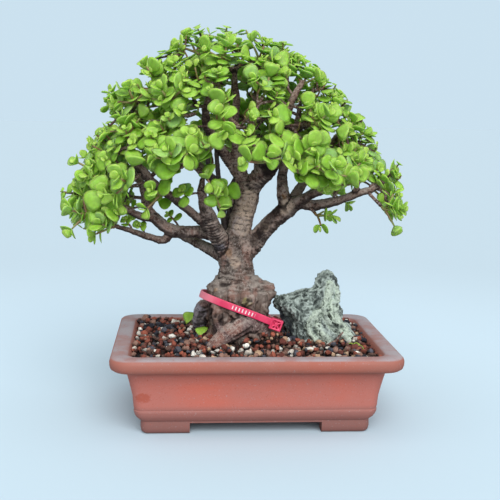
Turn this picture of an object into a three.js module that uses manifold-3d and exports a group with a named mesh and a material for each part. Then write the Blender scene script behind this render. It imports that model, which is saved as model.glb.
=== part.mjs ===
// Dwarf jade bonsai in a rectangular clay pot: trunk and limbs, leafy sprays, a gravel bed, a stone and
// a strap tag. Millimetres, +Z up. Every place below is in the pot's own frame: its zero is on the ground
// under the pot's centre, and the pot's front faces -Y.

import * as THREE from "three";
import { mergeVertices } from "three/addons/utils/BufferGeometryUtils.js";
import Module from "manifold-3d";

const wasm = await Module();
wasm.setup();

// Driving dimensions
const POT = { width: 216, depth: 156, corner: 15, floor: 15, underside: 8.6 };
const FEET = { frontGap: 99, sideGap: 62, recessX: 144, recessY: 86 };
const DRAIN = { x: 42, radius: 8 };
const SCREEN = { side: 30, thick: 1.2, hole: 6, pitch: 8.4 };
const SOIL = { edge: 57.8, mound: 2.6, moundRadius: 46, rise: 2.6, grain: 1.1, columns: 19, rows: 13 };
const TAG = { thick: 1.2, wide: 5.4, slope: 0.35, lock: [10.5, 5.2, 8.8] };
const CROWN = { x: -15, y: 4, z: 167, halfX: 137, halfY: 98, halfZ: 146 };
const LEAF = { length: 13.4, width: 12.6, thick: 2.5, cup: 0.1, waist: 1.5 };
const SHELL_SPRAYS = 36;
const SHELL_SHARE = 0.83;
const SKIRT = { top: 206, fall: 60 };
const TWIG_TIP = 1.25;
const GAP = 0.3;
const FACET = { fine: 0.1, leafy: 0.2 };
const SEED = 4177;

const CLAY = new THREE.MeshStandardMaterial({ color: 0xb5624f, roughness: 0.8 });
const GRAVEL = new THREE.MeshStandardMaterial({ color: 0x7d4a3c, roughness: 0.95 });
const STONE = new THREE.MeshStandardMaterial({ color: 0x8f9c88, roughness: 0.9 });
const BARK = new THREE.MeshStandardMaterial({ color: 0x6b5147, roughness: 0.85 });
const LEAVES = new THREE.MeshStandardMaterial({ color: 0x7fb23a, roughness: 0.4 });
const TAG_PLASTIC = new THREE.MeshStandardMaterial({ color: 0xd8345f, roughness: 0.4 });
const MESH_PLASTIC = new THREE.MeshStandardMaterial({ color: 0x1f2422, roughness: 0.6 });

const tree = new THREE.Group();

// Solids and meshes

function solidOf(geometry) {
  const bare = geometry.clone();
  bare.deleteAttribute("normal");
  bare.deleteAttribute("uv");
  const merged = mergeVertices(bare, 1e-4);
  const corners = merged.index.array;
  const kept = [];
  for (let i = 0; i < corners.length; i += 3) {
    const [a, b, c] = [corners[i], corners[i + 1], corners[i + 2]];
    if (a !== b && b !== c && a !== c) kept.push(a, b, c);
  }
  return new wasm.Manifold(
    new wasm.Mesh({
      numProp: 3,
      vertProperties: merged.attributes.position.array,
      triVerts: new Uint32Array(kept),
    }),
  );
}

// Drops facets too slight to show.
const tidied = (solid, slight = FACET.fine) => solid.asOriginal().simplify(slight);

function addNode(name, solid, material) {
  const { numProp, numVert, vertProperties, triVerts } = solid.getMesh();
  const places = new Float32Array(numVert * 3);
  for (let i = 0; i < numVert; i++)
    places.set(vertProperties.subarray(i * numProp, i * numProp + 3), i * 3);
  const geometry = new THREE.BufferGeometry();
  geometry.setAttribute("position", new THREE.BufferAttribute(places, 3));
  geometry.setIndex(new THREE.BufferAttribute(triVerts, 1));
  geometry.computeVertexNormals();
  const mesh = new THREE.Mesh(geometry, material);
  mesh.name = name;
  tree.add(mesh);
}

const joined = (solids) => wasm.Manifold.union(solids);

function boxAt(width, depth, height, x, y, z) {
  return solidOf(new THREE.BoxGeometry(width, depth, height).translate(x, y, z));
}

// The next number from 0 to 1 of a repeatable sequence.
class Draw {
  constructor(seed) {
    this.state = seed;
  }
  next() {
    this.state = (this.state * 16807) % 2147483647;
    return this.state / 2147483647;
  }
  around(middle, spread) {
    return middle + spread * (2 * this.next() - 1);
  }
}

const vector = (p) => new THREE.Vector3(p[0], p[1], p[2]);

// A value read from a list of evenly spaced stations, straight between them.
function station(values, t) {
  const at = Math.min(values.length - 1, Math.max(0, t * (values.length - 1)));
  const low = Math.min(values.length - 2, Math.floor(at));
  return values[low] + (values[low + 1] - values[low]) * (at - low);
}

// A limb: a cylinder whose rings are carried along a curve through the path's points, with a radius that
// changes from station to station.
function limb(path, radii, sides, rings, swell = 0) {
  const curve = new THREE.CatmullRomCurve3(path.map(vector), false, "catmullrom");
  const frames = [];
  let normal = new THREE.Vector3(0.31, -0.83, 0.46);
  for (let i = 0; i <= rings; i++) {
    const tangent = curve.getTangent(i / rings);
    normal = normal.clone().addScaledVector(tangent, -normal.dot(tangent)).normalize();
    const past = i === 0 ? -swell : i === rings ? swell : 0;
    const point = curve.getPoint(i / rings).addScaledVector(tangent, past);
    frames.push({ point, normal, across: tangent.clone().cross(normal) });
  }
  const shape = new THREE.CylinderGeometry(1, 1, 1, sides, rings);
  const place = shape.attributes.position;
  for (let i = 0; i < place.count; i++) {
    const t = place.getY(i) + 0.5;
    const frame = frames[Math.round(t * rings)];
    const radius = station(radii, t) + swell;
    const at = frame.point
      .clone()
      .addScaledVector(frame.normal, place.getX(i) * radius)
      .addScaledVector(frame.across, -place.getZ(i) * radius);
    place.setXYZ(i, at.x, at.y, at.z);
  }
  return solidOf(shape);
}

// A lump: level oval sections [z, x, y, halfX, halfY], with ribs that stand out of its sides by a formula.
function lump(sections, sides, ribs, swell = 0) {
  const rings = sections.length - 1;
  const shape = new THREE.CylinderGeometry(1, 1, 1, sides, rings);
  const place = shape.attributes.position;
  for (let i = 0; i < place.count; i++) {
    const ring = Math.round((place.getY(i) + 0.5) * rings);
    const [z, x, y, halfX, halfY] = sections[ring];
    const turn = Math.atan2(-place.getZ(i), place.getX(i));
    const out = 1 + ribs(turn, z);
    const past = ring === 0 ? -swell : ring === rings ? swell : 0;
    place.setXYZ(
      i,
      x + place.getX(i) * (halfX * out + swell),
      y - place.getZ(i) * (halfY * out + swell),
      z + past,
    );
  }
  return solidOf(shape);
}

// Pot

// One of a rounded rectangle's 20 points: five on each corner's arc.
function roundedRing(halfX, halfY, radius, k) {
  const corner = Math.floor(k / 5) % 4;
  const turn = (corner + (k % 5) / 4) * (Math.PI / 2);
  const signX = corner === 0 || corner === 3 ? 1 : -1;
  const signY = corner < 2 ? 1 : -1;
  return [
    signX * (halfX - radius) + radius * Math.cos(turn),
    signY * (halfY - radius) + radius * Math.sin(turn),
  ];
}

// A solid turned from a profile of [inset from the rim's outline, z], but carried round a rounded
// rectangle. It starts and ends on the axis, at the inset "null".
function potTurned(profile) {
  const halfAt = (inset) => (inset === null ? 0 : POT.width / 2 - inset);
  const points = profile.map(([inset, z]) => new THREE.Vector2(halfAt(inset), z));
  const shape = new THREE.LatheGeometry(points, 20);
  const place = shape.attributes.position;
  for (let i = 0; i < place.count; i++) {
    const k = Math.floor(i / points.length);
    const { x: half, y: z } = points[i % points.length];
    const inset = POT.width / 2 - half;
    const corner = Math.max(4, POT.corner - 0.45 * inset);
    const [x, y] = half === 0 ? [0, 0] : roundedRing(half, POT.depth / 2 - inset, corner, k % 20);
    place.setXYZ(i, x, y, z);
  }
  const solid = solidOf(shape);
  return solid.volume() > 0 ? solid : solidOf(turnedRound(shape));
}

function turnedRound(geometry) {
  const order = geometry.index.array;
  for (let i = 0; i < order.length; i += 3) [order[i + 1], order[i + 2]] = [order[i + 2], order[i + 1]];
  return geometry;
}

const POT_OUTSIDE = [
  [null, 0],
  [27, 0],
  [24, 1.6],
  [22.6, 5],
  [23, 11.4],
  [21, 13],
  [18.4, 16.4],
  [17.2, 19.6],
  [16.8, 23.4],
  [16.2, 30],
  [14, 40],
  [12.4, 46.6],
  [10.6, 48.6],
  [3, 50.2],
  [0.6, 52.2],
  [0, 55],
  [0.6, 59.4],
  [2.6, 61.4],
  [5, 62],
];
const POT_INSIDE = [
  [11.4, 62],
  [13.2, 61.2],
  [16.6, 56],
  [19.6, 48],
  [23.4, 24],
  [26, 17],
  [29, 15],
  [null, 15],
];

function pot() {
  const whole = potTurned([...POT_OUTSIDE, ...POT_INSIDE]);
  const through = 300;
  const height = 2 * POT.underside;
  const cuts = [
    boxAt(FEET.frontGap, through, height, 0, 0, 0),
    boxAt(through, FEET.sideGap, height, 0, 0, 0),
    boxAt(FEET.recessX, FEET.recessY, height, 0, 0, 0),
  ];
  for (const side of [-1, 1]) {
    const hole = new THREE.CylinderGeometry(DRAIN.radius, DRAIN.radius, 40, 12).rotateX(Math.PI / 2);
    cuts.push(solidOf(hole.translate(side * DRAIN.x, 0, 0)));
  }
  return whole.subtract(joined(cuts));
}

// A plastic mesh square that keeps the soil from falling through a drain hole.
function screen(x) {
  const middle = POT.floor + GAP + SCREEN.thick / 2;
  const holes = [];
  for (const column of [-1, 0, 1])
    for (const row of [-1, 0, 1]) {
      const across = x + column * SCREEN.pitch;
      holes.push(boxAt(SCREEN.hole, SCREEN.hole, 4 * SCREEN.thick, across, row * SCREEN.pitch, middle));
    }
  return boxAt(SCREEN.side, SCREEN.side, SCREEN.thick, x, 0, middle).subtract(joined(holes));
}

// Trunk, roots and limbs

// Level sections of the trunk: its foot in the soil, the swollen base, the waist and the crotch.
const TRUNK = [
  [42, -8, 2, 23, 20],
  [60, -7.5, 2, 25, 22],
  [68, -9.5, 2, 23.5, 21],
  [78, -12, 1.5, 24.2, 21],
  [88, -12, 1.5, 24.6, 21],
  [97, -11.5, 1, 26, 20.5],
  [103, -10, 1, 24, 19],
  [108, -11.8, 1, 16.5, 15],
  [114, -12.6, 1, 13, 12.4],
  [121, -13.6, 1, 13, 12],
  [129, -13.4, 1.5, 14.4, 12.4],
  [137, -12.6, 2, 15.4, 12],
  [144, -11.6, 2, 10, 9],
];
const trunkRibs = (turn, z) =>
  0.045 * Math.sin(5 * turn + 0.08 * z) + 0.03 * Math.sin(3 * turn - 0.13 * z + 1);

// Surface roots: points [x, y, z, radius] from the trunk's foot down into the soil.
const ROOTS = {
  front: [
    [-2, -10, 78, 11],
    [-14, -18, 74, 9.6],
    [-24, -23, 68, 8],
    [-32, -25, 61, 6.2],
    [-39, -27, 51, 3],
  ],
  left: [
    [-30, 0, 88, 6],
    [-38, 2, 86, 5.6],
    [-42.6, 7, 76, 5.6],
    [-43, 12, 67, 5.2],
    [-43.5, 17, 60, 5],
    [-44, 21, 50, 3],
  ],
  right: [
    [-2, 0, 70, 12],
    [7, -8, 64, 9],
    [15, -14, 58, 6],
    [20, -17, 50, 3],
  ],
  back: [
    [-12, 10, 76, 11],
    [-13, 21, 70, 9],
    [-16, 30, 62, 6.6],
    [-19, 36, 51, 3],
  ],
  backRight: [
    [0, 6, 68, 10],
    [9, 14, 63, 8],
    [17, 20, 57, 5.6],
    [22, 24, 50, 3],
  ],
};

// Limbs: points [x, y, z, radius] from inside the parent out to the tip.
const LIMBS = {
  central: {
    sides: 9,
    points: [
      [-12, 2, 128, 11.5],
      [-11, 2, 148, 9.4],
      [-8, 2, 160, 8.8],
      [-5, 3, 173, 9.4],
      [-5, 4, 182, 8.6],
    ],
  },
  leader: {
    sides: 7,
    points: [
      [-5, 4, 176, 7.6],
      [-10, 6, 188, 6],
      [-13, 6, 201, 4.8],
      [-14, 4, 216, 4],
      [-16, 2, 232, 3.4],
      [-15, 0, 248, 2.9],
      [-17, 2, 263, 2.4],
      [-14, 5, 277, 1.8],
    ],
  },
  leftRiser: {
    sides: 6,
    points: [
      [-10, 6, 186, 5],
      [-21, 8, 202, 4.4],
      [-30, 4, 214, 4],
      [-37, -4, 225, 3.6],
      [-39, -10, 237, 3.2],
      [-37, -14, 249, 2.5],
      [-40, -16, 261, 1.8],
    ],
  },
  rightKnot: {
    sides: 7,
    points: [
      [-5, 4, 176, 8.4],
      [3, 0, 187, 7.6],
      [10, -4, 196, 8],
      [15, -8, 207, 5.6],
      [18, -12, 222, 4.2],
      [22, -16, 238, 3.5],
      [27, -18, 250, 2.9],
      [34, -14, 262, 1.8],
    ],
  },
  frontStub: {
    sides: 7,
    points: [
      [-22, 0, 132, 8],
      [-32, -12, 149, 6.6],
      [-37, -19, 161, 5.4],
      [-40, -23, 170, 4.2],
      [-42, -26, 180, 3],
      [-41, -29, 189, 1.8],
    ],
  },
  leftLong: {
    sides: 6,
    points: [
      [-28, -8, 144, 5],
      [-43, -16, 156, 3.7],
      [-52, -20, 164, 3.4],
      [-64, -26, 174, 3.3],
      [-76, -32, 183, 3.4],
      [-83, -37, 191, 3.8],
      [-90, -42, 199, 3.4],
      [-96, -46, 209, 2],
    ],
  },
  leftLow: {
    sides: 7,
    points: [
      [-18, 4, 132, 8],
      [-27, 3, 141, 7],
      [-37, 0, 144, 5.4],
      [-49, -4, 145, 4.9],
      [-62, -8, 146, 4.8],
      [-70, -10, 150, 4.6],
      [-76, -12, 155, 4.1],
      [-81, -14, 158, 3.6],
    ],
  },
  leftLowUp: {
    sides: 5,
    points: [
      [-76, -12, 155, 3.8],
      [-83, -12, 166, 3.2],
      [-85, -8, 174, 3],
      [-88, -2, 183, 2.8],
      [-93, 4, 196, 1.9],
    ],
  },
  leftLowOut: {
    sides: 5,
    points: [
      [-78, -13, 157, 3.6],
      [-86, -18, 158, 3.1],
      [-94, -22, 162, 2.8],
      [-101, -26, 166, 2.4],
      [-109, -30, 171, 1.8],
    ],
  },
  leftLowest: {
    sides: 5,
    points: [
      [-64, -8, 147, 3.6],
      [-70, -7, 139, 3.3],
      [-80, -8, 141, 2.8],
      [-88, -12, 144, 2.5],
      [-97, -18, 148, 2.1],
      [-106, -24, 151, 1.6],
    ],
  },
  backLeft: {
    sides: 5,
    points: [
      [-16, 3, 122, 8],
      [-26, 8, 126, 6],
      [-37, 16, 130, 4.6],
      [-46, 24, 134, 4],
      [-58, 34, 138, 3.4],
      [-69, 44, 145, 2.8],
      [-81, 54, 155, 1.9],
    ],
  },
  rightMain: {
    sides: 8,
    points: [
      [-8, 2, 126, 9],
      [-1, 2, 134, 8],
      [7, 2, 144, 7],
      [17, 0, 155, 6.9],
      [27, -2, 164, 7.1],
      [34, -4, 169, 5.2],
    ],
  },
  rightLong: {
    sides: 6,
    points: [
      [28, -3, 165, 5.8],
      [36, -4, 168, 5],
      [45, -6, 167, 4.4],
      [57, -8, 169, 3.8],
      [70, -10, 173, 3.4],
      [80, -10, 177, 3.2],
      [91, -8, 180, 2.8],
      [100, -6, 186, 2.3],
      [105, -6, 193, 1.6],
    ],
  },
  rightUp: {
    sides: 6,
    points: [
      [25, -2, 163, 6],
      [22, -2, 177, 4.9],
      [22, 2, 189, 4.1],
      [25, 8, 201, 3.6],
      [30, 14, 215, 3.1],
      [35, 20, 231, 2.6],
      [38, 26, 246, 1.8],
    ],
  },
  rightMiddle: {
    sides: 5,
    points: [
      [30, -3, 167, 4.6],
      [42, -12, 175, 3.5],
      [50, -18, 179, 3],
      [59, -22, 184, 2.7],
      [66, -25, 190, 2.4],
      [72, -28, 198, 1.7],
    ],
  },
  rightRise: {
    sides: 5,
    points: [
      [28, -1, 168, 4.4],
      [40, 10, 184, 3.6],
      [49, 18, 199, 3.3],
      [61, 26, 211, 3],
      [74, 32, 224, 2.5],
      [82, 36, 234, 1.8],
    ],
  },
  rightTwigUp: {
    sides: 5,
    points: [
      [76, -10, 175, 2.4],
      [79, -12, 184, 2.1],
      [78, -14, 192, 1.9],
      [79, -16, 202, 1.5],
    ],
  },
  backMiddle: {
    sides: 6,
    points: [
      [-6, 3, 170, 6.4],
      [2, 16, 182, 4.8],
      [6, 30, 195, 4],
      [4, 44, 210, 3.2],
      [8, 56, 224, 2],
    ],
  },
  backRight: {
    sides: 6,
    points: [
      [14, 1, 152, 5.6],
      [24, 14, 160, 4.4],
      [36, 28, 166, 3.8],
      [50, 42, 172, 3],
      [64, 52, 182, 1.9],
    ],
  },
  backHigh: {
    sides: 6,
    points: [
      [-9, 3, 162, 6],
      [-22, 16, 174, 4.8],
      [-34, 30, 186, 4],
      [-46, 42, 198, 3.2],
      [-52, 50, 212, 2],
    ],
  },
  frontHigh: {
    sides: 6,
    points: [
      [10, -4, 196, 5],
      [2, -18, 206, 3.8],
      [-6, -32, 216, 3],
      [-8, -46, 226, 1.9],
    ],
  },
};

// A limb's or root's points as a path and the radii along it.
const grown = (points, sides = 7) => ({
  sides,
  path: points.map(([x, y, z]) => [x, y, z]),
  radii: points.map((point) => point[3]),
});
const roots = Object.values(ROOTS).map((points) => grown(points));
const limbs = Object.values(LIMBS).map(({ sides, points }) => grown(points, sides));

// Twigs: each grows from the nearest good place on the wood to the foot of a spray

// Where a direction from the crown's heart meets the crown: a rounded mound with a flatter right slope.
function crownPoint(direction, share) {
  const power = 1.6 - 0.14 * Math.tanh(4 * direction[0]);
  const sum = direction.reduce((total, part) => total + Math.abs(part) ** power, 0);
  const reach = share * sum ** (-1 / power);
  return [
    CROWN.x + CROWN.halfX * reach * direction[0],
    CROWN.y + CROWN.halfY * reach * direction[1],
    CROWN.z + CROWN.halfZ * reach * direction[2],
  ];
}

// The lowest height of a foot on the crown: high over the trunk, falling to both sides.
const skirtAt = (x) => SKIRT.top - SKIRT.fall * ((x - CROWN.x) / CROWN.halfX) ** 2;

// Evenly spread feet over the crown, by the golden angle, from its skirt to its top.
function shellFeet() {
  const feet = [];
  for (let i = 0; i < SHELL_SPRAYS; i++) {
    const high = -0.05 + 1.03 * ((i + 0.5) / SHELL_SPRAYS);
    const flat = Math.sqrt(Math.max(0, 1 - high * high));
    const turn = 2.399963 * i + 0.6;
    const [x, y, z] = crownPoint([flat * Math.cos(turn), flat * Math.sin(turn), high], SHELL_SHARE);
    feet.push([x, y, Math.max(z, skirtAt(x))]);
  }
  return feet;
}

// Sprays set by hand: low ones among the limbs, one on the stray twig at the left, and one at the top.
const LOW_FEET = [
  [-106, -32, 152],
  [-124, -16, 158],
  [-72, -46, 178],
  [-34, -46, 178],
  [-92, -20, 241],
  [46, -12, 162],
  [97, -18, 168],
  [-2, -8, 276],
  [-92, 54, 160],
  [70, 58, 174],
];

const length = (a, b) => Math.hypot(a[0] - b[0], a[1] - b[1], a[2] - b[2]);
const minus = (a, b) => [a[0] - b[0], a[1] - b[1], a[2] - b[2]];
const plus = (a, b, share = 1) => [a[0] + share * b[0], a[1] + share * b[1], a[2] + share * b[2]];
const dot = (a, b) => a[0] * b[0] + a[1] * b[1] + a[2] * b[2];
const unit = (a) => plus([0, 0, 0], a, 1 / Math.hypot(...a));
const cross = (a, b) => [a[1] * b[2] - a[2] * b[1], a[2] * b[0] - a[0] * b[2], a[0] * b[1] - a[1] * b[0]];
const outward = ([x, y, z]) =>
  unit([(x - CROWN.x) / CROWN.halfX, (y - CROWN.y) / CROWN.halfY, (z - CROWN.z) / CROWN.halfZ]);

// A point and the wood's radius there, for each stretch of a limb.
function samplesOf(path, radii, count) {
  const curve = new THREE.CatmullRomCurve3(path.map(vector), false, "catmullrom");
  return Array.from({ length: count + 1 }, (_, i) => ({
    at: curve.getPoint(i / count).toArray(),
    radius: station(radii, i / count),
  }));
}

const TWIG_STEPS = 4;

function growTwigs() {
  const wood = [];
  for (const { path, radii } of limbs)
    for (const sample of samplesOf(path, radii, 3 * (path.length - 1)).slice(2)) wood.push(sample);
  const draw = new Draw(SEED);
  const feet = [...LOW_FEET, ...shellFeet()].map((foot) => ({
    foot,
    near: Math.min(...wood.map(({ at }) => length(at, foot))),
  }));
  feet.sort((a, b) => a.near - b.near);
  const twigs = [];
  for (const { foot } of feet) {
    const out = outward(foot);
    let best = null;
    for (const node of wood) {
      const way = minus(foot, node.at);
      const far = Math.hypot(...way);
      if (far < 9) continue;
      const cost = far * (1.5 - 0.5 * (dot(way, out) / far));
      if (best === null || cost < best.cost) best = { cost, node, far, way };
    }
    const { node, far, way } = best;
    const middle = plus(plus(node.at, way, 0.5), out, -0.08 * far);
    const bent = plus(middle, [draw.around(0, 0.07), draw.around(0, 0.07), draw.around(0.05, 0.05)], far);
    const twig = { path: [node.at, bent, foot], load: [1, 1, 1, 1, 1], from: node, out };
    for (let step = 1; step <= TWIG_STEPS; step++) {
      const at = samplesOf(twig.path, [1, 1], TWIG_STEPS)[step].at;
      if (step < TWIG_STEPS) wood.push({ at, twig, step });
    }
    for (let place = node; place.twig; place = place.twig.from)
      for (let step = 0; step <= place.step; step++) place.twig.load[step] += 1;
    twigs.push(twig);
  }
  for (const twig of twigs) {
    const room = twig.from.twig ? 1e9 : 0.9 * twig.from.radius;
    twig.radii = twig.load.map((load) => Math.min(room, TWIG_TIP * load ** 0.42));
  }
  return twigs;
}

const twigs = growTwigs();

function wood() {
  const parts = [lump(TRUNK, 14, trunkRibs)];
  for (const { path, radii, sides } of roots) parts.push(limb(path, radii, sides, 5));
  for (const { path, radii, sides } of limbs) parts.push(limb(path, radii, sides, path.length - 1));
  for (const { path, radii } of twigs) parts.push(limb(path, radii, radii[0] > 2 ? 4 : 3, 2));
  return joined(parts);
}

// Stone

const ROCK = [
  [53, 57, 6, 25, 17],
  [60, 57, 5, 27, 19],
  [66, 54, 5, 25, 18],
  [74, 49.5, 6, 22.5, 16],
  [84, 46, 7, 26, 15],
  [91, 45.5, 8, 26.5, 13.5],
  [96, 51, 8, 20.5, 11.5],
  [101, 60, 8, 11.5, 10],
  [107, 60, 8, 7.6, 7],
  [111, 59.5, 8, 3, 3],
];
const rockRibs = (turn, z) => {
  const ridges = 0.07 * Math.sin(4 * turn + 0.19 * z) + 0.05 * Math.sin(7 * turn - 0.31 * z + 2);
  return ridges * Math.min(1, Math.max(0, (z - 60) / 6));
};

// Gravel bed

// The soil's height without grains: a low mound round the trunk that rises a little to the back.
function soilHeight(x, y) {
  const mound = SOIL.mound * Math.exp(-((x + 15) ** 2 + (y - 2) ** 2) / SOIL.moundRadius ** 2);
  return SOIL.edge + mound + (SOIL.rise * (y + 68)) / 136;
}

const FALLEN = [
  { x: -49, y: 40, turn: 0.9, lean: 0.35 },
  { x: -41.5, y: -1.5, turn: 0.15, lean: 0.12 },
];

function gravelBed() {
  const [halfX, halfY] = [POT.width / 2 - 14.6, POT.depth / 2 - 14.6];
  const slab = new THREE.BoxGeometry(2, 2, 1, SOIL.columns, SOIL.rows, 1);
  const place = slab.attributes.position;
  for (let i = 0; i < place.count; i++) {
    const [u, v] = [place.getX(i), place.getY(i)];
    const x = u * (halfX + 4);
    const y = v * (halfY + 4);
    if (place.getZ(i) < 0) {
      place.setXYZ(i, x, y, POT.floor + GAP);
      continue;
    }
    const column = Math.round(((u + 1) / 2) * SOIL.columns);
    const row = Math.round(((v + 1) / 2) * SOIL.rows);
    const draw = new Draw(1 + 131 * column + 7919 * row);
    draw.next();
    const edge = Math.abs(u) > 0.999 || Math.abs(v) > 0.999;
    const shift = edge ? [0, 0] : [draw.around(0, 2.2), draw.around(0, 2.2)];
    const offLeaf = FALLEN.map((leaf) => Math.max(0, (Math.hypot(x - leaf.x, y - leaf.y) - 10) / 4));
    const calm = Math.min(1, ...offLeaf);
    const grain = (column + row) % 2 === 0 ? SOIL.grain : -SOIL.grain;
    place.setXYZ(i, x + shift[0], y + shift[1], soilHeight(x, y) + calm * (grain + draw.around(0, 0.9)));
  }
  const inside = potTurned([
    [null, POT.floor + GAP],
    [29 + GAP, POT.floor + GAP],
    [26 + GAP, 17],
    [23.4 + GAP, 24],
    [19.6 + GAP, 48],
    [16.6 + GAP, 56],
    [13.2 + GAP, 61.2],
    [13.2 + GAP, 80],
    [null, 80],
  ]);
  const cuts = [
    lump(TRUNK, 14, trunkRibs, GAP + 0.1),
    lump(ROCK.slice(0, 3), 12, rockRibs, GAP + 0.1),
    ...roots.map(({ path, radii, sides }) => limb(path, radii, sides, 5, GAP + 0.1)),
  ];
  for (const side of [-1, 1]) {
    const room = SCREEN.side + 2 * GAP;
    cuts.push(boxAt(room, room, 2 * (SCREEN.thick + 2 * GAP), side * DRAIN.x, 0, POT.floor));
  }
  return solidOf(slab).intersect(inside).subtract(joined(cuts));
}

// Leaves and sprays

// A leaf's outline as shares of its length and of its width: broadest past its middle, with a blunt tip.
const OUTLINE = [
  [0.4, 0.46],
  [0.8, 0.41],
  [1, 0],
  [0.8, -0.41],
  [0.4, -0.46],
];

// A point of a leaf, given along it, across it and above it.
const leafPoint = ({ base, way, side, up }, along, across, above) =>
  plus(plus(plus(base, way, along), side, across), up, above);

// The outline's points of a leaf, curled up a little at its edges, then the middles of its two faces.
function leafCorners(leaf) {
  const edge = OUTLINE.map(([along, across]) =>
    leafPoint(leaf, along * leaf.length, across * leaf.width, 2 * LEAF.cup * leaf.width * Math.abs(across)),
  );
  const halves = [0.5 * LEAF.thick, -0.5 * LEAF.thick];
  const [upper, lower] = halves.map((above) => leafPoint(leaf, 0.56 * leaf.length, 0, above));
  return [...edge, upper, lower];
}

// One leaf, or two that stand opposite each other on a shoot, as one closed solid with a waist of four
// corners. They lie on the leaves' shared sides, and above and below them along the shoot.
function leavesSolid(leaves, axis) {
  const { base, side } = leaves[0];
  const half = LEAF.waist;
  const corners = [side, axis].flatMap((way) => [plus(base, way, half)]);
  corners.push(plus(base, side, -half), plus(base, axis, -half));
  const faces = [];
  const addFan = (middle, loop) =>
    loop.forEach((corner, i) => faces.push(middle, corner, loop[(i + 1) % loop.length]));
  leaves.forEach((leaf, number) => {
    const first = corners.length;
    corners.push(...leafCorners(leaf));
    const edge = [0, 1, 2, 3, 4].map((k) => first + k);
    const [left, right] = number === 0 ? [0, 2] : [2, 0];
    addFan(first + 5, [left, ...edge, right, 1]);
    addFan(first + 6, [left, 3, right, ...edge.reverse()]);
  });
  if (leaves.length === 1) faces.push(0, 1, 2, 0, 2, 3);
  const shape = new THREE.BufferGeometry();
  shape.setAttribute("position", new THREE.BufferAttribute(new Float32Array(corners.flat()), 3));
  shape.setIndex(faces);
  return solidOf(shape);
}

// Points over a leaf's blade, for telling how near it comes to others.
function leafPoints(leaf) {
  return [
    [0.35, 0],
    [0.68, 0],
    [1, 0],
    [0.45, 0.38],
    [0.45, -0.38],
    [0.8, 0.4],
    [0.8, -0.4],
  ].map(([along, across]) => leafPoint(leaf, along * leaf.length, across * leaf.width, 0));
}

// Two leaves opposite each other on a shoot, turned about it and leaning towards its tip.
function leafPair(draw, at, axis, turn, lean, size) {
  const start = unit(cross(axis, Math.abs(axis[2]) < 0.9 ? [0, 0, 1] : [1, 0, 0]));
  const other = cross(axis, start);
  const outs = [0, Math.PI].map((opposite) =>
    plus(plus([0, 0, 0], start, Math.cos(turn + opposite)), other, Math.sin(turn + opposite)),
  );
  const leaves = outs.map((out) => {
    const grown = size * draw.around(1, 0.14);
    const tilt = lean + draw.around(0, 0.2);
    const broad = draw.around(1, 0.08);
    return { base: at, axis, out, tilt, length: LEAF.length * grown, width: LEAF.width * grown * broad };
  });
  return { axis, leaves };
}

// Sets a leaf's way, side and upper side for a tilt away from the shoot's axis.
function leaned(leaf, more) {
  const tilt = leaf.tilt + more;
  const way = unit(plus(plus([0, 0, 0], leaf.axis, Math.cos(tilt)), leaf.out, Math.sin(tilt)));
  const up = unit(plus(plus([0, 0, 0], leaf.axis, Math.sin(tilt)), leaf.out, -Math.cos(tilt)));
  return { ...leaf, way, up, side: cross(way, up) };
}

const LEAN_TRIES = [0, 0.3, -0.3, 0.55, -0.5];
const LEAF_ROOM = 3.7;
const WOOD_ROOM = 1.9;

// How far a main shoot follows its twig, the way out of the crown, and the way up.
const AIMS = [
  [0.5, 0.7, 0.4],
  [0.9, 0.4, 0.1],
  [0.3, 0.9, -0.2],
  [0.3, 0.2, 0.9],
];

// A leafy spray: a main shoot with two pairs of leaves, and two side shoots with one pair each.
function sprayPlan(index, twig, [along, out, rise]) {
  const draw = new Draw(SEED + 977 * (index + 1));
  const foot = twig.path[2];
  const arrives = unit(minus(foot, samplesOf(twig.path, [1, 1], TWIG_STEPS)[TWIG_STEPS - 1].at));
  const aim = unit(plus(plus(plus([0, 0, 0], arrives, along), twig.out, out), [0, 0, 1], rise));
  const start = plus(foot, arrives, GAP);
  const tall = draw.around(16, 2);
  const bend = plus(start, arrives, 3.5);
  const tip = plus(bend, aim, tall - 3.5);
  const turn = 6.283 * draw.next();
  const shoots = [{ path: [start, bend, tip], radii: [TWIG_TIP, TWIG_TIP, 0.9] }];
  const pairs = [
    leafPair(draw, plus(bend, aim, 0.36 * tall), aim, turn, 1.15, 1),
    leafPair(draw, tip, aim, turn + 1.57, 0.7, 0.88),
  ];
  const across = unit(cross(aim, Math.abs(aim[2]) < 0.9 ? [0, 0, 1] : [1, 0, 0]));
  const over = cross(aim, across);
  const fan = turn + 0.78;
  const reach = unit(plus(plus([0, 0, 0], across, Math.cos(fan)), over, Math.sin(fan)));
  for (const side of [-1, 1]) {
    const way = unit(plus(plus([0, 0, 0], aim, 0.5), reach, 0.9 * side));
    const end = plus(bend, way, draw.around(14, 1.5));
    shoots.push({ path: [bend, end], radii: [1.1, 0.85] });
    pairs.push(leafPair(draw, end, way, 6.283 * draw.next(), 0.88, 0.94));
  }
  return { shoots, pairs };
}

const foliage = { leaves: [], wood: [] };
for (const { path, radii } of limbs) foliage.wood.push(...samplesOf(path, radii, 4 * (path.length - 1)));
for (const { path, radii } of twigs) foliage.wood.push(...samplesOf(path, radii, 10).slice(0, 9));

// A leaf has room if its points keep clear of every leaf before it and of the wood.
function hasRoom(leaf) {
  const points = leafPoints(leaf);
  const offWood = (p) => foliage.wood.every(({ at, radius }) => length(p, at) > radius + WOOD_ROOM);
  const offLeaves = (p) => foliage.leaves.every((other) => length(p, other) > LEAF_ROOM);
  return points.every((p) => offWood(p) && offLeaves(p));
}

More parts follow.
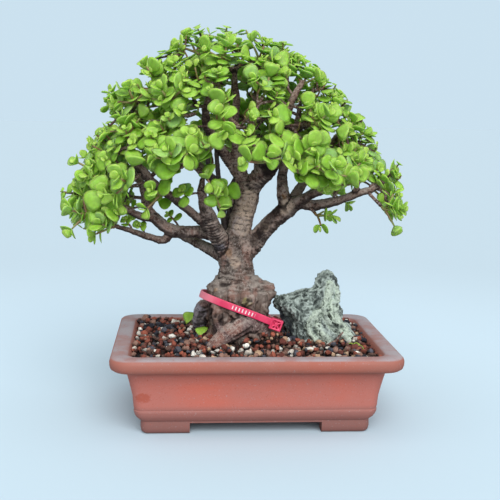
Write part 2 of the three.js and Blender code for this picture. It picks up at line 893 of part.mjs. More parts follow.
const woodSolid = tidied(wood(), FACET.leafy);
addNode("pot", tidied(pot()), CLAY);
addNode("drain_screen_left", screen(-DRAIN.x), MESH_PLASTIC);
addNode("drain_screen_right", screen(DRAIN.x), MESH_PLASTIC);
addNode("gravel_bed", tidied(gravelBed()), GRAVEL);
addNode("stone", lump(ROCK, 12, rockRibs), STONE);
addNode("trunk_and_limbs", woodSolid, BARK);

const standing = [{ solid: woodSolid, box: woodSolid.boundingBox() }];

function meets(solid) {
  const box = solid.boundingBox();
  const near = standing.filter(({ box: other }) =>
    [0, 1, 2].every((k) => box.min[k] < other.max[k] + 1 && box.max[k] > other.min[k] - 1),
  );
  return near.some(({ solid: other }) => solid.minGap(other, GAP + FACET.leafy) < GAP + FACET.leafy);
}

twigs.forEach((twig, index) => {
  const shootSolid = ({ path, radii }) => limb(path, radii, 3, path.length - 1);
  const plans = AIMS.map((aim) => sprayPlan(index, twig, aim));
  const { shoots, pairs } = plans.find(({ shoots: [main] }) => !meets(shootSolid(main))) ?? plans[0];
  const [main, ...others] = shoots.map(shootSolid);
  const parts = [main, ...others.filter((shoot) => !meets(shoot))];
  for (const { axis, leaves } of pairs) {
    const placed = [];
    for (const leaf of leaves) {
      const fitting = LEAN_TRIES.map((more) => leaned(leaf, more)).find((tried) => hasRoom(tried));
      if (fitting && !meets(leavesSolid([fitting], axis))) placed.push(fitting);
    }
    if (placed.length === 0 || meets(leavesSolid(placed, axis))) continue;
    for (const leaf of placed) foliage.leaves.push(...leafPoints(leaf));
    parts.push(leavesSolid(placed, axis));
  }
  const pieces = tidied(joined(parts), FACET.leafy).decompose();
  const spray = pieces.sort((a, b) => b.volume() - a.volume())[0];
  standing.push({ solid: spray, box: spray.boundingBox() });
  addNode(`spray_${String(index + 1).padStart(2, "0")}`, spray, LEAVES);
});

// Strap tag: a flat band bent round the trunk's base, and a lock at its low right end

const STRAP_LINE = [
  [19, -19.4, 75],
  [12, -21.2, 77.8],
  [0, -23, 83],
  [-19, -23, 90],
  [-34, -16.6, 94.8],
  [-40, -8, 96],
  [-41, 1, 95.6],
  [-38, 12, 94],
  [-29, 20.5, 91],
  [-14, 24.6, 86.4],
  [2, 23.4, 82],
  [14, 17, 78.4],
  [20, 7, 76.4],
  [21.6, -5, 75.4],
  [21, -15, 75],
];

function strapTag() {
  const line = new THREE.CatmullRomCurve3(STRAP_LINE.map(vector), false, "catmullrom");
  const steps = 34;
  const lift = new THREE.Vector3(TAG.slope, 0, 1).normalize();
  const strap = new THREE.BoxGeometry(1, TAG.thick, TAG.wide, steps, 1, 1);
  const place = strap.attributes.position;
  for (let i = 0; i < place.count; i++) {
    const t = place.getX(i) + 0.5;
    const way = line.getTangent(t);
    const high = lift.clone().addScaledVector(way, -lift.dot(way)).normalize();
    const out = high.clone().cross(way);
    const at = line.getPoint(t).addScaledVector(out, place.getY(i)).addScaledVector(high, place.getZ(i));
    place.setXYZ(i, at.x, at.y, at.z);
  }
  const turned = new THREE.Matrix4()
    .makeTranslation(20.6, -18.6, 75)
    .multiply(new THREE.Matrix4().makeRotationY(Math.atan(TAG.slope)));
  const lock = new THREE.BoxGeometry(...TAG.lock).applyMatrix4(turned);
  const window = new THREE.BoxGeometry(6, 3, 5.6).translate(1, -TAG.lock[1] / 2, 0).applyMatrix4(turned);
  return joined([solidOf(strap), solidOf(lock).subtract(solidOf(window))]);
}

addNode("strap_tag", strapTag(), TAG_PLASTIC);

FALLEN.forEach(({ x, y, turn, lean }, index) => {
  const way = [Math.cos(turn) * Math.cos(lean), Math.sin(turn) * Math.cos(lean), Math.sin(lean)];
  const up = [-Math.cos(turn) * Math.sin(lean), -Math.sin(turn) * Math.sin(lean), Math.cos(lean)];
  const base = [x - 6 * way[0], y - 6 * way[1], soilHeight(x, y) + 1.9];
  const leaf = { base, way, up, side: cross(way, up), length: 12, width: 10.5 };
  addNode(`fallen_leaf_${index + 1}`, leavesSolid([leaf], up), LEAVES);
});

// The origin goes under the middle of the whole plant's width and depth.
const middle = new THREE.Box3().setFromObject(tree).getCenter(new THREE.Vector3());
tree.position.set(-middle.x, -middle.y, 0);

export default tree;
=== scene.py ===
"""The looks of a dwarf jade bonsai: bark, leafy sprays, gravel, stone, clay pot and strap tag.

Places and sizes below are in millimetres in the pot's own frame: its zero is on the ground under the pot's
centre, +Z is up, and the pot's front faces -Y. place_mm() turns them into metres in the frame of the packed
model, where every mesh is made.
"""

import functools
import itertools

import bpy
import numpy as np
from mathutils import Matrix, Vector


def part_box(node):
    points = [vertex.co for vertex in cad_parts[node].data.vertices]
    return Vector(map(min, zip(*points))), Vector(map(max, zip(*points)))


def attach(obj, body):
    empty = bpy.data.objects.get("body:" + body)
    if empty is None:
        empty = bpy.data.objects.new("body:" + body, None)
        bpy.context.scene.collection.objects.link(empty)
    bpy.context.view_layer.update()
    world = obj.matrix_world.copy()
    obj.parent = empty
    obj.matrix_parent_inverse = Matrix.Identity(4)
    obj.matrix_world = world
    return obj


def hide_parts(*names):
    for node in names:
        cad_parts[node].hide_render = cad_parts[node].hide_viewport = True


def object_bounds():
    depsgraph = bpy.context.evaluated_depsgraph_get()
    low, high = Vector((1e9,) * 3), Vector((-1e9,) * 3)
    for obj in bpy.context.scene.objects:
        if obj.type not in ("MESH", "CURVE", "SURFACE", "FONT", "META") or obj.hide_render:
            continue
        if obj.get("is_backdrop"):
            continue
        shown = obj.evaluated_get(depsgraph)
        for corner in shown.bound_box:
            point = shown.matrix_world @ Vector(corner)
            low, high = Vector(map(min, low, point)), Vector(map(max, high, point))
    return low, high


bl_info = {
    "name": "Dwarf Jade Bonsai", "version": (1, 0, 0), "blender": (4, 5, 0),
    "location": "View3D > Sidebar > Bonsai",
    "description": "Dresses a small jade tree in a clay pot, with its gravel, stone and tag",
    "category": "Add Mesh",
}

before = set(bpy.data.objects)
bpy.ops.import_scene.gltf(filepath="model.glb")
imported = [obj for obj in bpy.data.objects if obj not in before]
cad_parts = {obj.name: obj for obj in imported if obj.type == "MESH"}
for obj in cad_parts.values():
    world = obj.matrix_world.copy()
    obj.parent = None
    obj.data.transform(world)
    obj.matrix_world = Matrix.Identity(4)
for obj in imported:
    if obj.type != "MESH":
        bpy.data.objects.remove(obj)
MODEL_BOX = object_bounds()
POT_LOW, POT_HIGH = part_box("pot")

MM = 0.001
HOME = np.array([(POT_LOW.x + POT_HIGH.x) / 2, (POT_LOW.y + POT_HIGH.y) / 2, POT_LOW.z])

# Pot: sizes of the rim's outline, and profiles of [inset from that outline, height]
POT_WIDTH = 216.0
POT_DEPTH = 156.0
POT_CORNER = 15.0
POT_UNDERSIDE = 8.6
FEET_FRONT_GAP = 99.0
FEET_SIDE_GAP = 62.0
FEET_RECESS = (144.0, 86.0)
DRAIN_X = 42.0
DRAIN_RADIUS = 8.0
POT_OUTSIDE = (
    (27, 0), (23.8, 0.5), (22.6, 1.8), (21.9, 5), (22, 8.6), (22.1, 9.8), (21.2, 11), (19.4, 12.8),
    (18, 15), (17.2, 17.4), (17, 18.8), (17.4, 19.6), (16.9, 21.4), (16.2, 30), (14, 40), (12.3, 47.2),
    (11.6, 48.6), (9.8, 49.8), (5.6, 50.8), (2.4, 51.8), (0.8, 53.2), (0.1, 55.6), (0, 58.4), (0.6, 60.4),
    (1.8, 61.5), (5, 62),
)
POT_INSIDE = (
    (10.4, 62), (12.4, 61.6), (13.4, 60.8), (16.6, 56), (19.6, 48), (23.4, 24), (26, 17), (29, 15),
)
# Clay colours: the heights where each starts and where it is full, and for the ends the way from the middle.
# The lip's darkening and the feet's darker tone are painted shade.
CLAY_BELT = ((22, 30), (46, 38))
CLAY_LOW = (24, 19)
CLAY_LIP_SHADE = (46, 51)
CLAY_FEET_SHADE = (12.5, 9.5)
CLAY_ENDS = (55, 92)

# Gravel: the soil's height and the mix of grains as [name, share of all grains]
SOIL_EDGE = 57.8
SOIL_MOUND = 2.6
SOIL_MOUND_RADIUS = 46.0
SOIL_RISE = 2.6
# The little heap against the trunk's foot, as x, y and height
SOIL_HEAP = (11.0, -18.0, 8.0)
GRAIN_PITCH = 3.6
GRAIN_MIX = (
    ("red_lava", 0.33), ("brown_clay", 0.25), ("black_lava", 0.18), ("pumice", 0.15), ("tan_clay", 0.09),
)

# Trunk: level oval sections as [height, x, y, half width, half depth]
TRUNK = (
    (42, -8, 2, 23, 20), (60, -7.5, 2, 25, 22), (68, -9.5, 2, 23.5, 21), (78, -12, 1.5, 24.2, 21),
    (88, -12, 1.5, 24.6, 21), (97, -11.5, 1, 26, 20.5), (103, -10, 1, 24, 19), (108, -11.8, 1, 16.5, 15),
    (114, -12.6, 1, 13, 12.4), (121, -13.6, 1, 13, 12), (129, -13.4, 1.5, 14.4, 12.4),
    (137, -12.6, 2, 15.4, 12), (144, -11.6, 2, 10, 9),
)

# Surface roots as points [x, y, z, radius] from the trunk's foot down into the gravel
ROOTS = {
    "front": (
        (-2, -12, 76, 8), (-10, -17.6, 73.6, 7.6), (-20, -22, 68, 6.8), (-29, -25, 61.6, 5.6),
        (-37, -27, 52, 3),
    ),
    "left": (
        (-30, 0, 88, 5.6), (-37.4, 2, 85.6, 5), (-41.4, 7, 76, 4.8), (-42, 12, 67, 4.7),
        (-43, 17, 60, 4.7), (-44, 21, 50, 3),
    ),
    "right": ((-2, 0, 70, 12), (7, -8, 64, 9), (15, -14, 58, 6), (20, -17, 50, 3)),
    "back": ((-12, 10, 76, 11), (-13, 21, 70, 9), (-16, 30, 62, 6.6), (-19, 36, 51, 3)),
    "back_right": ((0, 6, 68, 10), (9, 14, 63, 8), (17, 20, 57, 5.6), (22, 24, 50, 3)),
}

# Folds of old wood that stand a little out of the trunk's base
FOLDS = (
    ((-27, -12, 101, 4), (-29, -15, 90, 4.4), (-27, -17, 78, 4.6), (-27, -19, 66, 4)),
    ((-16, -17.5, 99, 4), (-17, -18.6, 88, 4.4), (-13, -19, 80, 4), (-12, -18, 70, 4)),
    ((-3, -17.6, 97, 4), (-4, -18.4, 86, 4.6), (0, -18, 74, 5), (1, -18, 62, 5)),
    ((7, -12.4, 98, 4), (6.6, -13.6, 88, 4.2), (6, -14.6, 78, 4.6), (8, -15, 64, 4)),
    ((11, -4, 103, 4), (13.4, -6, 97, 4), (9, -8, 88, 4), (9, -9, 70, 4)),
    ((8, 13, 98, 4), (6, 15, 84, 4.6), (4, 16, 68, 5)),
    ((-14, 19, 98, 4), (-12, 20, 84, 5), (-10, 21, 66, 5)),
    ((-32, 8, 98, 4), (-32, 9, 84, 5), (-30, 12, 66, 5)),
)

# Limbs as points [x, y, z, radius] from inside the parent out to the tip
LIMBS = {
    "central": (
        (-12, 2, 128, 11.5), (-11, 2, 148, 9.4), (-8, 2, 160, 8.8), (-5, 3, 173, 9.4), (-5, 4, 182, 8.6),
    ),
    "leader": (
        (-5, 4, 176, 7.6), (-10, 6, 188, 6), (-13, 6, 201, 4.8), (-14, 4, 216, 4), (-16, 2, 232, 3.4),
        (-15, 0, 248, 2.9), (-17, 2, 263, 2.4), (-14, 5, 277, 1.8),
    ),
    "left_riser": (
        (-10, 6, 186, 5), (-21, 8, 202, 4.4), (-30, 4, 214, 4), (-37, -4, 225, 3.6), (-39, -10, 237, 3.2),
        (-37, -14, 249, 2.5), (-40, -16, 261, 1.8),
    ),
    "right_knot": (
        (-5, 4, 176, 8.4), (3, 0, 187, 7.6), (10, -4, 196, 8), (15, -8, 207, 5.6), (18, -12, 222, 4.2),
        (22, -16, 238, 3.5), (27, -18, 250, 2.9), (34, -14, 262, 1.8),
    ),
    "front_stub": (
        (-22, 0, 132, 8), (-32, -12, 149, 6.6), (-37, -19, 161, 5.4), (-40, -23, 170, 4.2),
        (-42, -26, 180, 3), (-41, -29, 189, 1.8),
    ),
    "left_long": (
        (-28, -8, 144, 5), (-43, -16, 156, 3.7), (-52, -20, 164, 3.4), (-64, -26, 174, 3.3),
        (-76, -32, 183, 3.4), (-83, -37, 191, 3.8), (-90, -42, 199, 3.4), (-96, -46, 209, 2),
    ),
    "left_low": (
        (-18, 4, 132, 8), (-27, 3, 141, 7), (-37, 0, 144, 5.4), (-49, -4, 145, 4.9), (-62, -8, 146, 4.8),
        (-70, -10, 150, 4.6), (-76, -12, 155, 4.1), (-81, -14, 158, 3.6),
    ),
    "left_low_up": (
        (-76, -12, 155, 3.8), (-83, -12, 166, 3.2), (-85, -8, 174, 3), (-88, -2, 183, 2.8),
        (-93, 4, 196, 1.9),
    ),
    "left_low_out": (
        (-78, -13, 157, 3.6), (-86, -18, 158, 3.1), (-94, -22, 162, 2.8), (-101, -26, 166, 2.4),
        (-109, -30, 171, 1.8),
    ),
    "left_lowest": (
        (-64, -8, 147, 3.6), (-70, -7, 139, 3.3), (-80, -8, 141, 2.8), (-88, -12, 144, 2.5),
        (-97, -18, 148, 2.1), (-106, -24, 151, 1.6),
    ),
    "back_left": (
        (-16, 3, 122, 8), (-26, 8, 126, 6), (-37, 16, 130, 4.6), (-46, 24, 134, 4), (-58, 34, 138, 3.4),
        (-69, 44, 145, 2.8), (-81, 54, 155, 1.9),
    ),
    "right_main": (
        (-8, 2, 126, 9), (-1, 2, 134, 8), (7, 2, 144, 7), (17, 0, 155, 6.9), (27, -2, 164, 7.1),
        (34, -4, 169, 5.2),
    ),
    "right_long": (
        (28, -3, 165, 5.8), (36, -4, 168, 5), (45, -6, 167, 4.4), (57, -8, 169, 3.8), (70, -10, 173, 3.4),
        (80, -10, 177, 3.2), (91, -8, 180, 2.8), (100, -6, 186, 2.3), (105, -6, 193, 1.6),
    ),
    "right_up": (
        (25, -2, 163, 6), (22, -2, 177, 4.9), (22, 2, 189, 4.1), (25, 8, 201, 3.6), (30, 14, 215, 3.1),
        (35, 20, 231, 2.6), (38, 26, 246, 1.8),
    ),
    "right_middle": (
        (30, -3, 167, 4.6), (42, -12, 175, 3.5), (50, -18, 179, 3), (59, -22, 184, 2.7),
        (66, -25, 190, 2.4), (72, -28, 198, 1.7),
    ),
    "right_rise": (
        (28, -1, 168, 4.4), (40, 10, 184, 3.6), (49, 18, 199, 3.3), (61, 26, 211, 3), (74, 32, 224, 2.5),
        (82, 36, 234, 1.8),
    ),
    "right_twig_up": ((76, -10, 175, 2.4), (79, -12, 184, 2.1), (78, -14, 192, 1.9), (79, -16, 202, 1.5)),
    "back_middle": (
        (-6, 3, 170, 6.4), (2, 16, 182, 4.8), (6, 30, 195, 4), (4, 44, 210, 3.2), (8, 56, 224, 2),
    ),
    "back_right": (
        (14, 1, 152, 5.6), (24, 14, 160, 4.4), (36, 28, 166, 3.8), (50, 42, 172, 3), (64, 52, 182, 1.9),
    ),
    "back_high": (
        (-9, 3, 162, 6), (-22, 16, 174, 4.8), (-34, 30, 186, 4), (-46, 42, 198, 3.2), (-52, 50, 212, 2),
    ),
    "front_high": ((10, -4, 196, 5), (2, -18, 206, 3.8), (-6, -32, 216, 3), (-8, -46, 226, 1.9)),
}

# Stems that stand behind the limbs, the same way; the twig material paints them near-black as shade
BACK_STEMS = (
    (
        (-20, 7, 138, 3.2), (-22, 9, 147, 2.7), (-24.5, 12, 165, 2.3), (-27, 13, 182, 2),
        (-29, 9, 198, 1.8), (-30, 5, 212, 1.7),
    ),
    ((-16, 7, 140, 3), (-18, 10, 154, 2.6), (-19, 12, 168, 2.3), (-17, 11, 180, 2), (-12, 7, 190, 2)),
    (
        (-22, 8, 150, 2.4), (-27, 13, 164, 2.1), (-31, 14, 176, 1.9), (-35, 11, 190, 1.8),
        (-37, 3, 206, 1.7), (-37, -3, 222, 1.7),
    ),
)


# Crown: a mound round [x, y, z] with these half sizes, and the rule that sets the sprays' feet on it
CROWN_MIDDLE = np.array([-15.0, 4.0, 167.0])
CROWN_HALF = np.array([137.0, 98.0, 146.0])
SHELL_SPRAYS = 36
SHELL_SHARE = 0.83
GOLDEN_TURN = 2.399963
# No spray's foot on the mound lies under this height: at the crown's middle, and how far it falls to a side
SKIRT_TOP = 206.0
SKIRT_FALL = 60.0
LOW_FEET = (
    (-106, -32, 152), (-124, -16, 158), (-72, -46, 178), (-34, -46, 178), (-92, -20, 241), (46, -12, 162),
    (97, -18, 168), (-2, -8, 276), (-92, 54, 160), (70, 58, 174),
)
TWIG_TIP = 1.25
# The swellings along a twig
NODE_PITCH = 4.6
TWIG_STEPS = 4
TREE_SEED = 4177
SHOOT_GAP = 0.3
LEAF_LENGTH = 13.4
LEAF_WIDTH = 12.6
AIMS = ((0.5, 0.7, 0.4), (0.9, 0.4, 0.1), (0.3, 0.9, -0.2), (0.3, 0.2, 0.9))
LEAN_TRIES = (0, 0.3, -0.3, 0.55, -0.5)

# Stone: level oval sections as [height, x, y, half width, half depth], and the pale folds that cross it
STONE = (
    (53, 57, 6, 25, 17), (60, 57, 5, 27, 19), (66, 54, 5, 25, 18), (74, 49.5, 6, 22.5, 16),
    (84, 46, 7, 26, 15), (89.4, 45.5, 8, 25.6, 13.5), (93.6, 51, 8, 19, 11.5), (98, 60, 8, 11.2, 10),
    (104, 60.4, 8, 8.8, 8), (109, 60.2, 8, 6.4, 6), (112, 59.8, 8, 2.6, 2.6),
)

# Strap tag: the line that its middle follows, its section, and its lock
STRAP_LINE = (
    (19, -19.4, 75), (12, -21.2, 77.8), (0, -23, 83), (-19, -23, 90), (-34, -16.6, 94.8), (-40, -8, 96),
    (-41, 1, 95.6), (-38, 12, 94), (-29, 20.5, 91), (-14, 24.6, 86.4), (2, 23.4, 82), (9, 18, 77),
    (14.8, 9, 73), (16.6, -4, 71.6), (18.4, -14, 73.4),
)
STRAP_THICK = 1.2
STRAP_WIDE = 5.4
TAG_SLOPE = 0.35
BAR_PITCH = 2.7
# How far off the strap's middle line a white bar ends, and is full
BAR_ENDS = (1.55, 1.25)
LOCK_MIDDLE = (17, -19.6, 75)
LOCK_SIZE = (9.4, 5.2, 8.6)

FALLEN = ((-50, 38, 1.1, 0.8), (-40.5, -2.5, 1.35, 0.5))

# Camera: found from the pot's corners in a square picture
LENS = 62.75
CAMERA_AT = (-58.29, -677.77, 231.04)
CAMERA_YAW = -0.08203
CAMERA_PITCH = 0.14692
CAMERA_ROLL = 0.018713


def mm(lengths):
    """Lengths in millimetres as metres."""
    return [length * MM for length in lengths]


def place_mm(points):
    """Millimetres in the pot's frame as metres in the model's frame."""
    return HOME + MM * np.asarray(points, float)


# Numbers, curves and noise


class Draw:
    """A repeatable sequence of numbers: each state is 16807 times the last, modulo 2147483647."""

    def __init__(self, seed):
        self.state = seed

    def next(self):
        self.state = (self.state * 16807) % 2147483647
        return self.state / 2147483647

    def around(self, middle, spread):
        return middle + spread * (2 * self.next() - 1)


def unit(vectors):
    """Each vector divided by its length."""
    vectors = np.asarray(vectors, float)
    return vectors / np.maximum(np.linalg.norm(vectors, axis=-1, keepdims=True), 1e-12)


def curve_through(path, shares):
    """Points of a smooth curve at shares 0 to 1 of its spans. Between two path points it is the cubic
    whose slope at each is half the step from the point before to the point after; past its ends the path
    goes on straight."""
    path = np.asarray(path, float)
    held = np.vstack([2 * path[0] - path[1], path, 2 * path[-1] - path[-2]])
    at = np.clip(np.asarray(shares, float), 0, 1) * (len(path) - 1)
    low = np.minimum(at.astype(int), len(path) - 2)
    t = (at - low)[:, None]
    before, start, end, after = (held[low + k] for k in range(4))
    leave, arrive = (end - before) / 2, (after - start) / 2
    rise = end - start
    return start + leave * t + (3 * rise - 2 * leave - arrive) * t**2 + (leave + arrive - 2 * rise) * t**3


def station(values, shares):
    """A value read from evenly spaced stations, straight between them."""
    values = np.asarray(values, float)
    return np.interp(np.asarray(shares, float) * (len(values) - 1), np.arange(len(values)), values)


def noise(points, size, seed):
    """A smooth random field from -1 to 1: each corner of a cubic lattice of the given size has a random
    value, and a point blends its cell's eight corners by eased weights."""
    scaled = np.asarray(points, float) / size + 7.31 * seed
    cell = np.floor(scaled).astype(np.int64)
    share = scaled - cell
    weight = share * share * (3 - 2 * share)
    total = np.zeros(len(scaled))
    for corner in itertools.product((0, 1), repeat=3):
        x, y, z = (cell + np.array(corner)).T
        mixed = (x * 374761393 + y * 668265263 + z * 2246822519 + seed * 3266489917) & 0xFFFFFFFF
        mixed = ((mixed ^ (mixed >> 13)) * 1274126177) & 0xFFFFFFFF
        value = ((mixed ^ (mixed >> 16)) & 0xFFFF) / 32767.5 - 1
        part = np.where(np.array(corner) == 1, weight, 1 - weight)
        total += value * part.prod(axis=1)
    return total


def rough(points, size, seed, octaves=3):
    """Noise at a size, plus the same at each half size with half the strength."""
    return sum(noise(points, size / 2**k, seed + k) / 2**k for k in range(octaves))


# Meshes


def grid_faces(rows, columns, wrap=True):
    """Quads between neighbouring points of a grid that is stored row by row, closed round its columns."""
    across = columns if wrap else columns - 1
    row, column = np.divmod(np.arange((rows - 1) * across), across)
    right = (column + 1) % columns
    return np.stack(
        [
            row * columns + column, row * columns + right, (row + 1) * columns + right,
            (row + 1) * columns + column,
        ],
        axis=1,
    )


def cap_faces(first, count, middle, flip=False):
    """Triangles from a ring of points to one middle point."""
    ring = first + np.arange(count)
    ahead = first + (np.arange(count) + 1) % count
    ends = (ahead, ring) if flip else (ring, ahead)
    return np.stack([*ends, np.full(count, middle)], axis=1)


def tube(path, radii, sides, rings, section=None):
    """A closed tube: circles of the given radii carried along the curve through the path, then a point
    over the middle of each end. Returns its points, quads, triangles, distance along and way out of the
    axis."""
    shares = np.linspace(0, 1, rings + 1)
    centre = curve_through(path, shares)
    tangent = unit(np.gradient(centre, axis=0))
    mean = unit(centre[-1] - centre[0])
    reference = np.eye(3)[np.argmin(np.abs(mean))]
    normal = unit(reference - tangent * (tangent @ reference)[:, None])
    across = np.cross(tangent, normal)
    turn = 2 * np.pi * np.arange(sides) / sides
    out = normal[:, None] * np.cos(turn)[:, None] + across[:, None] * np.sin(turn)[:, None]
    radius = station(radii, shares)
    along = np.concatenate([[0], np.cumsum(np.linalg.norm(np.diff(centre, axis=0), axis=1))])
    shape = np.ones((rings + 1, sides)) if section is None else section(
        along[:, None], turn[None, :], radius[:, None],
    )
    body = centre[:, None] + out * (radius[:, None] * shape)[..., None]
    points = np.vstack([body.reshape(-1, 3), centre[:1], centre[-1:]])
    last = rings * sides
    triangles = np.vstack(
        [cap_faces(0, sides, last + sides, flip=True), cap_faces(last, sides, last + sides + 1)],
    )
    lengths = np.concatenate([np.repeat(along, sides), along[[0, -1]]])
    girths = np.concatenate([np.repeat(radius, sides), radius[[0, -1]]])
    return points, grid_faces(rings + 1, sides), triangles, lengths, girths


def lump(sections, sides, rings, ribs=None):
    """A closed lump: level ovals whose middles and half sizes follow a smooth curve through the sections,
    with ribs that scale each oval by 1 plus a function of the turn and the height."""
    ovals = curve_through(sections, np.linspace(0, 1, rings + 1))
    turn = 2 * np.pi * np.arange(sides) / sides
    height = ovals[:, :1]
    scale = 1 if ribs is None else 1 + ribs(turn[None, :], height)
    x = ovals[:, 1:2] + ovals[:, 3:4] * scale * np.cos(turn)
    y = ovals[:, 2:3] + ovals[:, 4:5] * scale * np.sin(turn)
    z = np.repeat(height, sides, axis=1)
    points = np.vstack([np.stack([x, y, z], axis=-1).reshape(-1, 3), ovals[[0, -1]][:, [1, 2, 0]]])
    last = rings * sides
    triangles = np.vstack(
        [cap_faces(0, sides, last + sides, flip=True), cap_faces(last, sides, last + sides + 1)],
    )
    return points, grid_faces(rings + 1, sides), triangles


def gathered(parts):
    """Several (points, faces...) parts as one list of points and one list of face arrays."""
    points, faces, first = [], [], 0
    for part_points, *part_faces in parts:
        points.append(part_points)
        faces.extend(face + first for face in part_faces)
        first += len(part_points)
    return np.vstack(points), faces


def mesh_from(name, points, faces):
    """A mesh from points in metres and a list of arrays of faces."""
    mesh = bpy.data.meshes.new(name)
    sizes = np.concatenate([np.full(len(face), face.shape[1]) for face in faces])
    corners = np.concatenate([face.ravel() for face in faces]).astype(np.int32)
    mesh.vertices.add(len(points))
    mesh.vertices.foreach_set("co", np.asarray(points, np.float32).ravel())
    mesh.loops.add(len(corners))
    mesh.loops.foreach_set("vertex_index", corners)
    mesh.polygons.add(len(sizes))
    starts = np.concatenate([[0], np.cumsum(sizes)[:-1]]).astype(np.int32)
    mesh.polygons.foreach_set("loop_start", starts)
    mesh.update(calc_edges=True)
    return mesh


def finish_piece(mesh, materials, replaces=(), smooth=True, values=None):
    """Makes an object of a mesh, gives it its materials and its values over the surface, and rides it."""
    for finish in materials:
        mesh.materials.append(finish)
    mesh.polygons.foreach_set("use_smooth", np.full(len(mesh.polygons), smooth))
    for title, numbers in (values or {}).items():
        layer = mesh.attributes.new(title, "FLOAT", "POINT")
        layer.data.foreach_set("value", np.asarray(numbers, np.float32))
    piece = bpy.data.objects.new(mesh.name, mesh)
    bpy.context.scene.collection.objects.link(piece)
    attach(piece, "root")
    if replaces:
        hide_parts(*replaces)
    return piece


def applied(mesh, *modifiers):
    """A mesh after modifiers given as (kind, {setting: value}), with the object that carried them
    removed."""
    carrier = bpy.data.objects.new("carrier", mesh)
    bpy.context.scene.collection.objects.link(carrier)
    for kind, settings in modifiers:
        modifier = carrier.modifiers.new(kind, kind)
        for setting, value in settings.items():
            setattr(modifier, setting, value)
    bpy.context.view_layer.update()
    evaluated = carrier.evaluated_get(bpy.context.evaluated_depsgraph_get())
    result = bpy.data.meshes.new_from_object(evaluated)
    name = mesh.name
    bpy.data.objects.remove(carrier)
    bpy.data.meshes.remove(mesh)
    result.name = name
    return result


def read_points(mesh):
    """A mesh's points and their normals, as arrays."""
    points = np.empty(3 * len(mesh.vertices), np.float32)
    normals = np.empty_like(points)
    mesh.vertices.foreach_get("co", points)
    mesh.vertex_normals.foreach_get("vector", normals)
    return points.reshape(-1, 3).astype(float), normals.reshape(-1, 3).astype(float)


def fused(name, parts, voxel, smoothing):
    """Overlapping closed parts in millimetres as one skin of small quads, in metres."""
    points, faces = gathered(parts)
    soft = ("SMOOTH", {"factor": 0.5, "iterations": smoothing})
    return applied(
        mesh_from(name, place_mm(points), faces),
        ("REMESH", {"mode": "VOXEL", "voxel_size": voxel * MM, "adaptivity": 0.0}), soft,
    )


def raised(mesh, height):
    """Moves each point along its normal by a height in millimetres."""
    points, normals = read_points(mesh)
    moved = points + normals * (MM * height)[:, None]
    mesh.vertices.foreach_set("co", moved.astype(np.float32).ravel())
    mesh.update()


def to_mm(points):
    """Metres in the model's frame as millimetres in the pot's frame."""
    return (points - HOME) / MM


# Growth: the limbs, twigs and sprays of leaves, by one rule for the whole tree


def crown_points(directions, share):
    """Where directions from the crown's middle meet its mound: a superellipsoid whose power is a little
    lower, and so its slope flatter, on the right."""
    directions = np.asarray(directions, float)
    power = 1.6 - 0.14 * np.tanh(4 * directions[:, :1])
    reach = np.sum(np.abs(directions) ** power, axis=1, keepdims=True) ** (-1 / power)
    return CROWN_MIDDLE + CROWN_HALF * np.reshape(share, (-1, 1)) * reach * directions


def golden_directions(heights, first_turn):
    """Unit directions at the given heights, each a golden turn on from the last."""
    heights = np.asarray(heights, float)
    flat = np.sqrt(np.maximum(0, 1 - heights**2))
    turn = GOLDEN_TURN * np.arange(len(heights)) + first_turn
    return np.stack([flat * np.cos(turn), flat * np.sin(turn), heights], axis=1)


def outward(points):
    """The way out of the crown at each point."""
    return unit((np.asarray(points, float) - CROWN_MIDDLE) / CROWN_HALF)


class Wood:
    """The wood that twigs may grow from: points with their radii, and the twig and step that each is
    on."""

    def __init__(self):
        self.points = []
        self.radii = []
        self.places = []
        for limb in LIMBS.values():
            path = np.array(limb, float)
            shares = np.arange(3 * (len(path) - 1) + 1) / (3 * (len(path) - 1))
            self.points.extend(curve_through(path[:, :3], shares)[2:])
            self.radii.extend(station(path[:, 3], shares)[2:])
        self.places = [None] * len(self.points)

    def add(self, point, place):
        self.points.append(point)
        self.radii.append(None)
        self.places.append(place)


def grow_twig(wood, foot, draw, least=9.0):
    """A twig from the best place on the wood to a foot: near, and on the foot's inner side. Its middle
    sags a little towards the crown's heart."""
    out = outward(foot)
    ways = foot - np.array(wood.points)
    far = np.linalg.norm(ways, axis=1)
    cost = far * (1.5 - 0.5 * (ways @ out) / np.maximum(far, 1e-9))
    cost[far < least] = np.inf
    best = int(np.argmin(cost))
    start, way, length = wood.points[best], ways[best], far[best]
    shift = np.array([draw.around(0, 0.07), draw.around(0, 0.07), draw.around(0.05, 0.05)])
    bent = start + 0.5 * way - 0.08 * length * out + length * shift
    path = np.array([start, bent, foot])
    twig = {"path": path, "out": out, "load": np.ones(TWIG_STEPS + 1), "from": wood.places[best]}
    twig["room"] = 1e9 if twig["from"] else 0.9 * wood.radii[best]
    steps = curve_through(path, np.arange(TWIG_STEPS + 1) / TWIG_STEPS)
    twig["arrives"] = unit(foot - steps[TWIG_STEPS - 1])
    for step in range(1, TWIG_STEPS):
        wood.add(steps[step], (twig, step))
    place = twig["from"]
    while place:
        parent, step = place
        parent["load"][: step + 1] += 1
        place = parent["from"]
    return twig


def main_twigs(wood):
    """The twigs that end in the model's own sprays, the ones nearest to the limbs first."""
    heights = -0.05 + 1.03 * (np.arange(SHELL_SPRAYS) + 0.5) / SHELL_SPRAYS
    shell = crown_points(golden_directions(heights, 0.6), SHELL_SHARE)
    aside = (shell[:, 0] - CROWN_MIDDLE[0]) / CROWN_HALF[0]
    shell[:, 2] = np.maximum(shell[:, 2], SKIRT_TOP - SKIRT_FALL * aside**2)
    feet = np.vstack([np.array(LOW_FEET, float), shell])
    reach = np.linalg.norm(feet[:, None] - np.array(wood.points)[None], axis=2).min(axis=1)
    draw = Draw(TREE_SEED)
    return [grow_twig(wood, feet[k], draw) for k in np.argsort(reach, kind="stable")]


